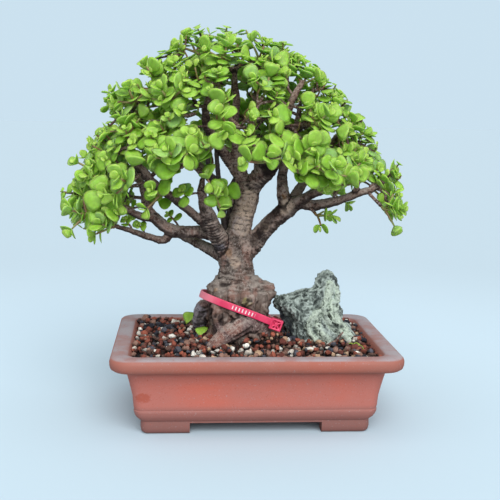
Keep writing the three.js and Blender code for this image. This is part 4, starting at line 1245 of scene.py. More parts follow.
def eased(values, low, high):
    """0 at low and 1 at high, with a soft start and end."""
    share = np.clip((values - low) / (high - low), 0, 1)
    return share * share * (3 - 2 * share)


def bark_relief(points):
    """How far the bark stands out at each point, and the values that its colour reads. Grooves ring the
    limbs at uneven steps, wrinkles ring the neck, furrows run down the base and along the roots, and
    noise roughens it all."""
    places, radii, alongs, ways, kinds = wood_axes()
    near, fork = nearest_axis(points)
    girth, way, kind = radii[near], ways[near], kinds[near]
    ahead = np.sum((points - places[near]) * way, axis=1)
    along = alongs[near] + ahead
    on_limb, on_root, on_trunk = kind == 1, kind == 2, kind == 0
    gap = 1.7 + 0.2 * np.minimum(girth, 9)
    phase = along / gap + 0.45 * noise(points, 7, 3)
    groove = bell(np.sin(np.pi * phase), 0, 0.34)
    ringed = eased(noise(points, 26, 5), -0.6, 0.2) * on_limb
    groove_depth = 0.32 + 0.07 * np.minimum(girth, 7)
    drawn_out = points - 0.8 * np.sum(points * way, axis=1, keepdims=True) * way
    furrow = rough(drawn_out, 4.6, 31, 2)
    pressed = points * [0.25, 0.25, 1]
    wrinkle = rough(pressed, 1.9, 41, 2) + 0.5 * (1 - 2 * np.abs(noise(pressed, 2.6, 43)))
    neck = on_trunk * bell(points[:, 2], 108, 9) + on_trunk * 0.4 * bell(points[:, 2], 122, 12)
    base = on_trunk * eased(points[:, 2], 104, 92)
    offset = points - places[near]
    roped = offset - ahead[:, None] * way + 0.05 * along[:, None]
    rope = 0.6 * (1 - 2 * np.abs(noise(roped, 3.4, 35))) + 0.4 * (1 - 2 * np.abs(noise(roped, 2.1, 37)))
    height = -groove_depth * groove * ringed
    height += 1.0 * neck * wrinkle
    ridge = 1 - 2 * np.abs(noise(drawn_out, 3.1, 33))
    height += base * (1.5 * furrow + 0.55 * ridge + 0.7 * rough(points, 9, 51))
    height += on_root * (0.4 * furrow + 1.5 * (rope - 0.2))
    height += (1 - 0.7 * on_root) * np.clip(0.085 * girth, 0.14, 0.7) * rough(points, 5.5, 11, 3)
    height += 0.3 * rough(points, 2.1, 17, 2)
    height *= bpy.context.scene.bonsai_wood.relief
    # painted shade: how much the grooves, neck wrinkles, base furrows, root ropes and forks are darkened
    hollow_shade = 0.62 * groove * ringed - 0.85 * neck * wrinkle - base * (0.9 * furrow + 0.4 * ridge)
    hollow_shade -= on_root * (1.1 * (rope - 0.1) + 0.3 * furrow)
    hollow_shade = np.clip(hollow_shade + 0.7 * fork, 0, 1)
    strap = curve_through(STRAP_LINE, np.linspace(0, 1, 120))
    low = (points[:, 2] > 68) & (points[:, 2] < 102)
    away = np.full(len(points), 99.0)
    away[low] = np.linalg.norm(points[low][:, None] - strap[None], axis=2).min(axis=1)
    height = np.where(away < 6, np.minimum(height, -0.2 - 1.4 * eased(away, 4.5, 2)), height)
    values = {"along": along, "girth": girth, "hollow_shade": hollow_shade, "root": on_root + 0.0, "base": base}
    for title, marks in BARK_MARKS.items():
        mask = np.zeros(len(points))
        for x, y, z, radius, rise in marks:
            wobbly = np.linalg.norm(points - [x, y, z], axis=1) + 0.5 * noise(points, 2.6, 61)
            spot = eased(wobbly, 1.15 * radius, 0.75 * radius)
            mask = np.maximum(mask, spot)
            height += rise * spot
        values[title] = mask
    return height, values


def wood_skin():
    """The skin of all the thick wood, in metres, and the values over it."""
    main = growth()[0]
    parts = [lump(TRUNK, 72, 70, trunk_ribs)]
    for line in (*ROOTS.values(), *FOLDS):
        path = np.array(line, float)
        parts.append(tube(path[:, :3], path[:, 3], 20, 30)[:3])
    for limb in LIMBS.values():
        path = np.array(limb, float)
        parts.append(tube(path[:, :3], path[:, 3], 18, 9 * (len(path) - 1))[:3])
    for twig in main:
        if twig["radii"].max() > THICK_TWIG:
            parts.append(tube(twig["path"], twig["radii"] + 0.12, 10, 14)[:3])
    mesh = fused("trunk_and_limbs_bark", parts, BARK_VOXEL, 4)
    height, values = bark_relief(to_mm(read_points(mesh)[0]))
    raised(mesh, height)
    return mesh, values


def twig_section(along, turn, radius):
    """Round, with a swelling at each node."""
    return 1 + 0.16 * bell(np.sin(np.pi * along / NODE_PITCH), 0, 0.3) + 0.05 * np.sin(2 * turn + along)


def thin_twigs():
    """Points and faces of all the thin twigs, with the distance along each."""
    main, extra, _, _ = growth()
    parts, alongs, girths = [], [], []
    for number, twig in enumerate([*main, *extra]):
        if twig["radii"].max() <= THICK_TWIG:
            points, quads, triangles, along, girth = tube(twig["path"], twig["radii"], 8, 12, twig_section)
            parts.append((points, quads, triangles))
            alongs.append(along + 3.1 * number)
            girths.append(girth)
    for number, line in enumerate(BACK_STEMS):
        path = np.array(line, float)
        points, quads, triangles, along, girth = tube(path[:, :3], path[:, 3], 12, 40, twig_section)
        parts.append((points, quads, triangles))
        alongs.append(along + 3.1 * number)
        girths.append(girth)
    points, faces = gathered(parts)
    return points, faces, {"along": np.concatenate(alongs), "girth": np.concatenate(girths)}


# Pot

POT_ARC = 11
POT_SIDE = 26


def rounded_outline(half_x, half_y, radius, arc=POT_ARC, side=POT_SIDE):
    """Points round rounded rectangles, one row for each: arcs about the four corners' centres, with
    evenly spaced points on the straights between them."""
    half_x, half_y, radius = (
        np.atleast_1d(np.asarray(v, float))[:, None] for v in (half_x, half_y, radius)
    )
    corners = []
    for corner, (sign_x, sign_y) in enumerate(((1, 1), (-1, 1), (-1, -1), (1, -1))):
        turn = (corner + np.linspace(0, 1, arc)) * np.pi / 2
        x = sign_x * (half_x - radius) + radius * np.cos(turn)
        y = sign_y * (half_y - radius) + radius * np.sin(turn)
        corners.append(np.stack([x, y], axis=-1))
    share = (np.arange(1, side) / side)[None, :, None]
    rows = []
    for corner in range(4):
        start, end = corners[corner][:, -1:], corners[(corner + 1) % 4][:, :1]
        rows += [corners[corner], start + (end - start) * share]
    return np.concatenate(rows, axis=1)


def pot_rings(profile):
    """A profile of [inset, height] carried round the pot: each step is a rounded rectangle whose corners
    get sharper inwards."""
    inset, height = np.array(profile, float).T
    corner = np.maximum(4, POT_CORNER - 0.45 * inset)
    rings = rounded_outline(POT_WIDTH / 2 - inset, POT_DEPTH / 2 - inset, corner)
    return np.dstack([rings, np.repeat(height[:, None], rings.shape[1], axis=1)])


def closed_rings(rings):
    """A solid from rings of points: quads between them, and a middle point that closes the first and
    last."""
    count, sides = rings.shape[:2]
    points = np.vstack([rings.reshape(-1, 3), rings[0].mean(axis=0)[None], rings[-1].mean(axis=0)[None]])
    first, last = count * sides, (count - 1) * sides
    triangles = np.vstack([cap_faces(0, sides, first, flip=True), cap_faces(last, sides, first + 1)])
    return points, grid_faces(count, sides), triangles


def block(low, high):
    """A box from its lowest to its highest corner."""
    corners = np.array(list(itertools.product((0, 1), repeat=3)))
    points = np.where(corners == 1, high, low).astype(float)
    quads = np.array([(0, 1, 3, 2), (4, 6, 7, 5), (0, 4, 5, 1), (2, 3, 7, 6), (0, 2, 6, 4), (1, 5, 7, 3)])
    return points, quads


def pot_cutters():
    """The gaps between the feet, the recess under the pot and the two drain holes."""
    yield block((-FEET_FRONT_GAP / 2, -150, -9), (FEET_FRONT_GAP / 2, 150, POT_UNDERSIDE))
    yield block((-150, -FEET_SIDE_GAP / 2, -9), (150, FEET_SIDE_GAP / 2, POT_UNDERSIDE))
    wide, deep = FEET_RECESS
    yield block((-wide / 2, -deep / 2, -9), (wide / 2, deep / 2, POT_UNDERSIDE))
    for side in (-1, 1):
        yield tube(
            ((side * DRAIN_X, 0, -5), (side * DRAIN_X, 0, 30)), (DRAIN_RADIUS, DRAIN_RADIUS), 32, 1,
        )[:3]


def pot_mesh():
    """The pot, cut and with its cut edges rounded, in metres."""
    rings = pot_rings((*POT_OUTSIDE, *POT_INSIDE))
    points, *faces = closed_rings(rings)
    mesh = mesh_from("clay_pot", place_mm(points), faces)
    cutters = []
    for number, (cutter_points, *cutter_faces) in enumerate(pot_cutters()):
        shape = mesh_from(f"cutter_{number}", place_mm(cutter_points), cutter_faces)
        cutter = bpy.data.objects.new(shape.name, shape)
        bpy.context.scene.collection.objects.link(cutter)
        cutters.append(cutter)
    cuts = [
        ("BOOLEAN", {"operation": "DIFFERENCE", "object": cutter, "solver": "EXACT"}) for cutter in cutters
    ]
    round_off = ("BEVEL", {"width": 0.7 * MM, "segments": 3, "limit_method": "ANGLE", "angle_limit": 1.0})
    mesh = applied(mesh, *cuts, round_off)
    for cutter in cutters:
        bpy.data.objects.remove(cutter)
    return mesh


# Gravel

GRAIN_SHAPES = 12
GRAIN_FLATS = 7
BED_INSIDE = ((13.6, 60.4), (14.4, 59.2), (16.8, 55.8), (19.8, 48), (23.6, 24), (26.2, 17.2), (29.2, 15.2))


def soil_height(x, y):
    """The gravel's height: higher at the back, with a soft mound round the trunk."""
    mound = np.exp(-((x + 15) ** 2 + (y - 2) ** 2) / SOIL_MOUND_RADIUS**2)
    heaped = np.exp(-(((x - SOIL_HEAP[0]) / 15) ** 2) - ((y - SOIL_HEAP[1]) / 11) ** 2)
    return SOIL_EDGE + SOIL_MOUND * mound + SOIL_HEAP[2] * heaped + SOIL_RISE * (y + 68) / 136


def soil_bed():
    """The bed under the loose grains: the pot's inside as rings up to its lip, then rings drawn in over
    the top at the soil's height less a grain."""
    wall = pot_rings(BED_INSIDE[::-1])
    top_ring = wall[-2:-1, :, :2]
    shares = np.linspace(0.985, 0.02, 60)[:, None, None]
    flat = top_ring * shares
    height = soil_height(flat[..., 0], flat[..., 1]) - 3.4
    roughness = noise(np.dstack([flat, height]).reshape(-1, 3), 3.4, 71).reshape(height.shape)
    top = np.dstack([flat, height + 0.8 * roughness])
    return closed_rings(np.concatenate([wall[:-1], top]))


def grain_shapes(chance):
    """A dozen broken grains: a cube's 26 outer points drawn part of the way onto a ball, shaken, and
    pressed flat where they pass a few random planes. Gives the points and the 24 quads that all share."""
    steps = np.array([point for point in itertools.product((-1, 0, 1), repeat=3) if any(point)])
    numbers = {tuple(point): k for k, point in enumerate(steps)}
    quads = []
    for axis, sign in itertools.product(range(3), (-1, 1)):
        for a, b in itertools.product((-1, 0), repeat=2):
            square = []
            for da, db in ((0, 0), (1, 0), (1, 1), (0, 1)):
                point = [0, 0, 0]
                point[axis], point[(axis + 1) % 3], point[(axis + 2) % 3] = sign, a + da, b + db
                square.append(numbers[tuple(point)])
            quads.append(square if sign > 0 else square[::-1])
    ball = unit(steps)
    share = chance.uniform(0.25, 0.7, (GRAIN_SHAPES, 1, 1))
    points = (1 - share) * 0.62 * steps + share * ball
    points = points * (1 + chance.uniform(-0.16, 0.16, (GRAIN_SHAPES, len(steps), 1)))
    for _ in range(GRAIN_FLATS):
        face = unit(chance.normal(size=(GRAIN_SHAPES, 1, 3)))
        reach = np.sum(points * face, axis=2, keepdims=True)
        points = points - np.maximum(0, reach - chance.uniform(0.5, 0.74, (GRAIN_SHAPES, 1, 1))) * face
    return points, np.array(quads)


def random_turns(chance, count):
    """Random rotation matrices, from random unit quaternions."""
    w, x, y, z = unit(chance.normal(size=(count, 4))).T
    rows = [
        [1 - 2 * (y * y + z * z), 2 * (x * y - z * w), 2 * (x * z + y * w)],
        [2 * (x * y + z * w), 1 - 2 * (x * x + z * z), 2 * (y * z - x * w)],
        [2 * (x * z - y * w), 2 * (y * z + x * w), 1 - 2 * (x * x + y * y)],
    ]
    return np.moveaxis(np.array(rows), 2, 0)


def grain_places(chance):
    """Where the grains lie: a shaken honeycomb over the bed, clear of the pot's wall, the trunk, the
    roots and the stone."""
    step = GRAIN_PITCH * np.sqrt(3) / 2
    rows, columns = int(140 / step), int(200 / GRAIN_PITCH)
    row, column = np.divmod(np.arange(rows * columns), columns)
    x = (column - columns / 2 + 0.5 * (row % 2)) * GRAIN_PITCH + chance.uniform(-1.5, 1.5, len(row))
    y = (row - rows / 2) * step + chance.uniform(-1.3, 1.3, len(row))
    z = soil_height(x, y) + chance.uniform(-2.8, 1.3, len(row)) + 1.3 * (
        chance.uniform(0, 1, len(row)) > 0.9
    )
    over_x, over_y = np.abs(x) - (POT_WIDTH / 2 - 20), np.abs(y) - (POT_DEPTH / 2 - 20)
    outside = np.hypot(
        np.maximum(over_x, 0), np.maximum(over_y, 0),
    ) + np.minimum(np.maximum(over_x, over_y), 0)
    in_trunk = ((x + 8) / 24) ** 2 + ((y - 2) / 20.5) ** 2 < 0.9
    in_stone = ((x - 57) / 26) ** 2 + ((y - 5) / 18.5) ** 2 < 0.86
    keep = (outside < 4.3) & ~in_trunk & ~in_stone
    points = np.stack([x, y, z], axis=1)[keep]
    for root in ROOTS.values():
        path = np.array(root, float)
        shares = np.linspace(0, 1, 30)
        far = np.linalg.norm(points[:, None] - curve_through(path[:, :3], shares)[None], axis=2)
        points = points[np.min(far - station(path[:, 3], shares), axis=1) > 0.2]
    return points


def grains():
    """For each mineral: its name, points, faces, and values: a tone for each grain, and how much painted
    shade darkens its low side."""
    chance = np.random.default_rng(23)
    shapes, quads = grain_shapes(chance)
    places = grain_places(chance)
    count = len(places)
    size = np.clip(np.exp(chance.normal(np.log(2.2), 0.28, count)), 1.2, 3.7)
    stretch = chance.uniform(0.78, 1.2, (count, 3))
    turned = np.einsum(
        "gij,gpj->gpi", random_turns(chance, count), shapes[chance.integers(0, GRAIN_SHAPES, count)],
    )
    points = places[:, None] + turned * (size[:, None] * stretch)[:, None, :]
    # painted shade: grains go dark from a little over the soil's height down, for the shade that falls
    # between them
    painted_low_shade = eased(soil_height(points[..., 0], points[..., 1]) + 2.0 - points[..., 2], 0, 2.3)
    tones = chance.uniform(0, 1, count)
    pick = chance.uniform(0, 1, count) + 0.1 * noise(places, 22, 81) - 0.12 * eased(-places[:, 0], 30, 75)
    limits = np.cumsum([share for _, share in GRAIN_MIX])
    mineral = np.minimum(np.searchsorted(limits, np.clip(pick, 0, 0.999)), len(GRAIN_MIX) - 1)
    for number, (name, _) in enumerate(GRAIN_MIX):
        mine = points[mineral == number]
        faces = (quads[None] + shapes.shape[1] * np.arange(len(mine))[:, None, None]).reshape(-1, 4)
        values = {
            "tone": np.repeat(tones[mineral == number], shapes.shape[1]),
            "painted_low_shade": painted_low_shade[mineral == number].ravel(),
        }
        yield name, mine.reshape(-1, 3), [faces], values


# Stone

STONE_VOXEL = 0.5
STONE_FOLDS = (
    (
        (62, -1, 104, 2.2), (61, -2, 97, 2.4), (59, -4, 90, 2.2), (55.6, -6.4, 84.6, 2.2),
        (49.6, -8.6, 80.6, 2),
    ),
    (
        (49.6, -8.6, 80.6, 2), (46, -10, 75.4, 2), (44, -12, 69, 2.2), (46.6, -13, 63.6, 2.4),
        (52, -13, 58, 2.2),
    ),
    (
        (55.6, -6.4, 84.6, 2), (58, -9, 78.4, 2.1), (62, -10.6, 71.6, 2.2), (70, -11.6, 66, 2.2),
        (77, -11, 59, 2.2),
    ),
    ((67.6, 0, 101, 1.8), (68.4, -1, 93, 2), (67, -3, 84, 2), (68.6, -5, 76, 2.2), (76, -6, 67, 2.2)),
    ((52, -9, 79, 1.8), (51, -11.6, 73, 1.9), (53, -13, 67, 2), (59, -13.6, 61, 2.2), (62, -13, 57, 2)),
    ((64, -3, 90, 1.8), (62.6, -6, 83, 1.9), (65, -8, 76, 2), (72, -9, 69.6, 2.2), (79, -9, 62, 2.2)),
    ((31, -2, 90, 2.6), (38, -4, 88, 3), (46, -4, 90, 3), (54, -2, 95, 2.6)),
    ((26, -4, 88, 2.6), (33, -7, 83, 3), (38, -9, 75, 3.2), (38, -10, 66, 3), (36, -10, 58, 2.8)),
    ((19, 5, 91.6, 3), (18, 4.6, 94, 1.9), (18.6, 4.4, 96.2, 0.9)),
    ((24, 2, 90, 3.2), (34, 6, 91.6, 3), (46, 9, 93, 3), (54, 9, 97, 3)),
)
PALE_FOLDS = 6


def rock_ribs(turn, height):
    """Four and seven ridges that twist as they climb, fading out at the foot."""
    ridges = 0.07 * np.sin(4 * turn + 0.19 * height) + 0.05 * np.sin(7 * turn - 0.31 * height + 2)
    return ridges * np.clip((height - 60) / 6, 0, 1)


def ridged(points, size, seed):
    """Noise with sharp crests: 1 less twice the noise's distance from zero."""
    return 1 - 2 * np.abs(noise(points, size, seed))


def stone_skin():
    """The stone's skin, in metres: a lump with folds, raised by crests and pierced by pits, and the
    values over it."""
    parts = [lump(STONE, 80, 70, rock_ribs)]
    for fold in STONE_FOLDS:
        path = np.array(fold, float)
        parts.append(tube(path[:, :3], path[:, 3], 16, 24)[:3])
    mesh = fused("craggy_stone", parts, STONE_VOXEL, 3)
    points = to_mm(read_points(mesh)[0])
    on_fold = np.zeros(len(points))
    for fold in STONE_FOLDS[:PALE_FOLDS]:
        path = np.array(fold, float)
        shares = np.linspace(0, 1, 24)
        far = np.linalg.norm(points[:, None] - curve_through(path[:, :3], shares)[None], axis=2)
        on_fold = np.maximum(on_fold, eased(np.min(far - station(path[:, 3], shares), axis=1), 1.6, 0.1))
    bent = points + 1.6 * np.stack([noise(points, 5, seed) for seed in (101, 102, 103)], axis=1)
    crest = 0.6 * ridged(bent, 10.5, 91) + 0.4 * ridged(bent, 4.6, 92)
    creased = 0.6 * ridged(bent * [1, 1, 0.7], 2.9, 93) + 0.4 * ridged(bent, 1.7, 97)
    pitted = eased(noise(points, 5.2, 94) + 0.4 * noise(points, 2, 95), 0.5, 0.8)
    rugged = 1 - 0.5 * on_fold
    height = rugged * (
        1.7 * (crest - 0.35) - 1.2 * pitted
    ) + 1.1 * (creased - 0.3) + 0.35 * noise(points, 1.3, 96)
    # painted shadow: the undercut at the stone's lower left, where its overhang shades it
    under = eased(points[:, 0] + 0.35 * points[:, 1], 36, 24) * eased(
        points[:, 2] + noise(points, 5, 98) * 4, 84, 76,
    )
    values = {
        # painted shade in the pits and creases
        "hollow_shade": np.clip(
            0.7 * pitted * rugged + np.clip(0.1 - crest, 0, 1) + 1.3 * np.clip(0.18 - creased, 0, 1), 0, 1,
        ),
        # crest is a painted highlight on the ridges
        "fold": on_fold, "under": under, "crest": np.clip(0.6 * crest + 0.7 * creased, 0, 1),
    }
    raised(mesh, height)
    return mesh, values


# Strap tag


def strap_band():
    """The band: a rounded oblong carried along the strap's line, its long side leaning to the right by
    the tag's slope. Gives points, faces, and for each point how far along and how high on the band it
    is."""
    shares = np.linspace(0, 1, 281)
    centre = curve_through(STRAP_LINE, shares)
    way = unit(np.gradient(centre, axis=0))
    lift = unit([TAG_SLOPE, 0, 1])
    high = unit(lift - way * (way @ lift)[:, None])
    out = np.cross(high, way)
    section = rounded_outline(STRAP_THICK / 2, STRAP_WIDE / 2, 0.42, 4, 5)[0]
    ring = centre[:, None] + section[:, 0, None] * out[:, None] + section[:, 1, None] * high[:, None]
    along = np.concatenate([[0], np.cumsum(np.linalg.norm(np.diff(centre, axis=0), axis=1))])
    points, *faces = closed_rings(ring)
    values = {
        "along": np.concatenate([np.repeat(along, len(section)), along[[0, -1]]]),
        "high": np.concatenate([np.tile(section[:, 1], len(centre)), [0, 0]]),
        "front": np.concatenate([np.tile(section[:, 0], len(centre)) > 0, [0, 0]]) + 0.0,
    }
    return points, faces, values


def lock_skin():
    """The lock: an open tray whose front is a frame crossed by two ribs, fused and softened, in
    metres."""
    half_x, half_y, half_z = (size / 2 for size in LOCK_SIZE)
    wall, rib = 1.35, 0.62
    parts = [
        block((-half_x, half_y - 1.3, -half_z), (half_x, half_y, half_z)),
        block((-half_x, -half_y, -half_z), (-half_x + wall, half_y, half_z)),
        block((half_x - wall, -half_y, -half_z), (half_x, half_y, half_z)),
        block((-half_x, -half_y, -half_z), (half_x, half_y, -half_z + wall)),
        block((-half_x, -half_y, half_z - wall), (half_x, half_y, half_z)),
    ]
    for ends in (((-4.2, -3.4), (4.2, 3.4)), ((-4.2, 3.4), (4.2, -3.4)), ((0, -3.6), (0, 3.6))):
        path = [(x, -half_y + 0.9, z) for x, z in ends]
        parts.append(tube(path, (rib, rib), 12, 6)[:3])
    turn = np.arctan(TAG_SLOPE)
    tilt = np.array([[np.cos(turn), 0, np.sin(turn)], [0, 1, 0], [-np.sin(turn), 0, np.cos(turn)]])
    placed = [(np.array(LOCK_MIDDLE) + points @ tilt.T, *faces) for points, *faces in parts]
    return fused("strap_lock", placed, 0.26, 3)


# Fallen leaves, a dry twig and moss

DRY_TWIG = ((58, -20, 58.5), (64, -20.4, 61.6), (67, -19.6, 65), (70.4, -18.4, 68.4))
MOSS = (
    ((76, -27, 60), (79, -28.6, 62.4), (82, -31, 61), (84, -34, 59.6)),
    ((78, -31, 59.6), (80.4, -31.4, 61.4), (82.6, -33.6, 61), (83, -37, 59.4)),
    ((72, -25, 60), (75, -27, 61.8), (78, -28, 60.4)),
)


def fallen_leaf(x, y, turn, lean):
    """A leaf lying on the gravel, with its way and upper side set by its turn and lean."""
    way = np.array([np.cos(turn) * np.cos(lean), np.sin(turn) * np.cos(lean), np.sin(lean)])
    up = np.array([-np.cos(turn) * np.sin(lean), -np.sin(turn) * np.sin(lean), np.cos(lean)])
    base = np.array([x - 6 * way[0], y - 6 * way[1], soil_height(x, y) + 1.9])
    leaf = {"base": base, "way": way, "up": up, "side": np.cross(way, up)}
    return {**leaf, "length": 12.0, "width": 10.5, "youth": 0.55}


# Shader nodes


class Nodes:
    """The nodes of one material or one group, made and joined by short calls."""

    def __init__(self, tree):
        self.tree = tree
        self.tree.nodes.clear()

    def add(self, kind, inputs=None, **settings):
        """A node with its settings, its inputs given values or joined to other nodes' outputs."""
        node = self.tree.nodes.new(kind)
        for setting, value in settings.items():
            setattr(node, setting, value)
        for key, value in (inputs or {}).items():
            if isinstance(value, bpy.types.NodeSocket):
                self.tree.links.new(value, node.inputs[key])
            elif node.inputs[key].type == "RGBA":
                node.inputs[key].default_value = (*value[:3], 1.0)
            else:
                node.inputs[key].default_value = value
        return node

    def place(self):
        return self.add("ShaderNodeTexCoord").outputs["Object"]

    def part_of(self, vector, axis):
        return self.add("ShaderNodeSeparateXYZ", {0: vector}).outputs[axis]

    def value(self, title):
        return self.add("ShaderNodeAttribute", attribute_name=title).outputs["Fac"]

    def sums(self, operation, *terms):
        node = self.add("ShaderNodeMath", dict(enumerate(terms)), operation=operation)
        return node.outputs[0]

    def times(self, first, second):
        return self.sums("MULTIPLY", first, second)

    def plus(self, first, second):
        return self.sums("ADD", first, second)

    def minus(self, first, second):
        return self.sums("SUBTRACT", first, second)

    def between(self, value, low, high, to_low=0.0, to_high=1.0):
        inputs = {"Value": value, "From Min": low, "From Max": high, "To Min": to_low, "To Max": to_high}
        return self.add("ShaderNodeMapRange", inputs, interpolation_type="SMOOTHSTEP").outputs["Result"]

    def mix(self, share, low, high, blend="MIX"):
        inputs = {0: share, 6: low, 7: high}
        return self.add("ShaderNodeMix", inputs, data_type="RGBA", blend_type=blend).outputs[2]

    def shaded(self, colour, shade):
        """A colour with each of its shares multiplied by the same number."""
        grey = self.add("ShaderNodeCombineColor", {0: shade, 1: shade, 2: shade}).outputs[0]
        return self.mix(1.0, colour, grey, "MULTIPLY")

    def noise(self, scale, vector=None, detail=3.0, rough_share=0.55):
        inputs = {
            "Vector": vector or self.place(), "Scale": scale, "Detail": detail, "Roughness": rough_share,
        }
        return self.add("ShaderNodeTexNoise", inputs).outputs["Fac"]

    def varied(self, scale, low, high):
        """A value that noise carries from low to high."""
        return self.between(self.noise(scale), 0.3, 0.7, low, high)

    def stretched(self, scale):
        """Object coordinates scaled by a different amount along each axis."""
        return self.add("ShaderNodeMapping", {"Vector": self.place(), "Scale": scale}).outputs["Vector"]

    def group(self, tree, inputs):
        return self.add("ShaderNodeGroup", inputs, node_tree=tree).outputs[0]


def new_group(name, inputs, output, kind="NodeSocketFloat"):
    """An empty shader group with named inputs given as {name: (kind, default)} and one output."""
    tree = bpy.data.node_groups.new(name, "ShaderNodeTree")
    for title, (socket, default) in inputs.items():
        made = tree.interface.new_socket(title, in_out="INPUT", socket_type=socket)
        made.default_value = default
    tree.interface.new_socket(output, in_out="OUTPUT", socket_type=kind)
    nodes = Nodes(tree)
    return nodes, nodes.add("NodeGroupInput").outputs


@functools.lru_cache(maxsize=None)
def speckle_group():
    """A mask of irregular specks: noise at a scale, cut between a low and a high."""
    inputs = {
        "Scale": ("NodeSocketFloat", 400.0), "Low": ("NodeSocketFloat", 0.55),
        "High": ("NodeSocketFloat", 0.65), "Shift": ("NodeSocketVector", (0, 0, 0)),
    }
    nodes, given = new_group("Speckle Mask", inputs, "Mask")
    moved = nodes.add(
        "ShaderNodeVectorMath", {0: nodes.place(), 1: given["Shift"]}, operation="ADD",
    ).outputs[0]
    cells = nodes.noise(given["Scale"], moved, 3.0)
    nodes.add("NodeGroupOutput", {"Mask": nodes.between(cells, given["Low"], given["High"])})
    return nodes.tree


@functools.lru_cache(maxsize=None)
def dust_group():
    """A mask of dust on what faces up: the normal's height cut between a low and a high, broken by
    noise."""
    inputs = {
        "Low": ("NodeSocketFloat", 0.3), "High": ("NodeSocketFloat", 0.9),
        "Scale": ("NodeSocketFloat", 60.0),
    }
    nodes, given = new_group("Upward Dust Mask", inputs, "Mask")
    normal = nodes.add("ShaderNodeNewGeometry").outputs["Normal"]
    height = nodes.part_of(normal, "Z")
    facing = nodes.between(height, given["Low"], given["High"])
    broken = nodes.between(nodes.noise(given["Scale"]), 0.3, 0.62, 0.35, 1.0)
    nodes.add("NodeGroupOutput", {"Mask": nodes.times(facing, broken)})
    return nodes.tree


@functools.lru_cache(maxsize=None)
def spot_group():
    """A mask of one soft round spot with a ragged edge."""
    inputs = {
        "Centre": ("NodeSocketVector", (0, 0, 0)), "Stretch": ("NodeSocketVector", (1, 1, 1)),
        "Radius": ("NodeSocketFloat", 0.005),
    }
    nodes, given = new_group("Round Spot Mask", inputs, "Mask")
    away = nodes.add(
        "ShaderNodeVectorMath", {0: nodes.place(), 1: given["Centre"]}, operation="SUBTRACT",
    ).outputs[0]
    scaled = nodes.add(
        "ShaderNodeVectorMath", {0: away, 1: given["Stretch"]}, operation="MULTIPLY",
    ).outputs[0]
    far = nodes.add("ShaderNodeVectorMath", {0: scaled}, operation="LENGTH").outputs["Value"]
    share = nodes.sums("DIVIDE", far, given["Radius"])
    ragged = nodes.plus(share, nodes.varied(420.0, -0.28, 0.28))
    nodes.add("NodeGroupOutput", {"Mask": nodes.between(ragged, 1.15, 0.6)})
    return nodes.tree


@functools.lru_cache(maxsize=None)
def grit_group():
    """A fine rough height: coarse noise plus a share of fine noise."""
    inputs = {"Scale": ("NodeSocketFloat", 900.0), "Fine Share": ("NodeSocketFloat", 0.4)}
    nodes, given = new_group("Grit Height", inputs, "Height")
    coarse = nodes.noise(given["Scale"], detail=4.0, rough_share=0.6)
    fine = nodes.noise(nodes.times(given["Scale"], 3.1), detail=2.0)
    summed = nodes.plus(coarse, nodes.times(fine, given["Fine Share"]))
    nodes.add("NodeGroupOutput", {"Height": summed})
    return nodes.tree


def new_material(name):
    """An empty material and its nodes."""
    finish = bpy.data.materials.new(name)
    finish.use_nodes = True
    return finish, Nodes(finish.node_tree)


def close_material(nodes, colour, roughness, height=None, bump=0.3, distance=0.3, **plain):
    """The material's shader, with bump from a height and plain values on its other sockets."""
    shader = nodes.add("ShaderNodeBsdfPrincipled", {"Base Color": colour, "Roughness": roughness})
    for title, value in plain.items():
        shader.inputs[title.replace("_", " ")].default_value = value
    if height is not None:
        raised_by = nodes.add(
            "ShaderNodeBump", {"Height": height, "Strength": bump, "Distance": distance * MM},
        )
        nodes.tree.links.new(raised_by.outputs["Normal"], shader.inputs["Normal"])
    nodes.add("ShaderNodeOutputMaterial", {"Surface": shader.outputs[0]})


def spot(nodes, place, radius, stretch=(1, 1, 1)):
    """The mask of a spot at a place in millimetres in the pot's frame."""
    inputs = {"Centre": tuple(place_mm(place)), "Radius": radius * MM, "Stretch": stretch}
    return nodes.group(spot_group(), inputs)


def specks(nodes, scale, low, high, shift=0.0):
    inputs = {"Scale": scale, "Low": low, "High": high, "Shift": (shift, 2 * shift, 3 * shift)}
    return nodes.group(speckle_group(), inputs)


def grit(nodes, scale, fine=0.4):
    return nodes.group(grit_group(), {"Scale": scale, "Fine Share": fine})


@functools.lru_cache(maxsize=None)
def leaf_material():
    """Waxy leaves: deep to mid green by each leaf's tone, some bluish, young ones yellow-green, with a
    paler rim and underside and a faint mottle."""
    looks = bpy.context.scene.bonsai_foliage
    finish, nodes = new_material("Waxy Leaf")
    tone, youth, edge, under = (nodes.value(title) for title in ("tone", "youth", "edge", "under"))
    grown = nodes.mix(nodes.between(tone, 0.0, 0.85), looks.deep_green, looks.mid_green)
    grown = nodes.mix(nodes.between(tone, 0.84, 0.97, 0.0, 0.75), grown, looks.blue_green)
    colour = nodes.mix(nodes.between(youth, 0.1, 1.0, 0.0, 0.9), grown, looks.young_green)
    colour = nodes.mix(nodes.times(edge, 0.22), colour, looks.rim_green)
    colour = nodes.mix(nodes.times(under, 0.3), colour, looks.under_green)
    mottle = nodes.between(nodes.noise(260.0, detail=4.0), 0.3, 0.7, 0.84, 1.12)
    colour = nodes.shaded(colour, mottle)
    roughness = nodes.varied(500.0, 0.4, 0.56)
    close_material(
        nodes, colour, roughness, grit(nodes, 1400.0), 0.15, 0.12, Subsurface_Weight=0.6,
        Subsurface_Radius=(0.7, 1.0, 0.25), Subsurface_Scale=2.2 * MM, Specular_IOR_Level=0.35,
    )
    return finish


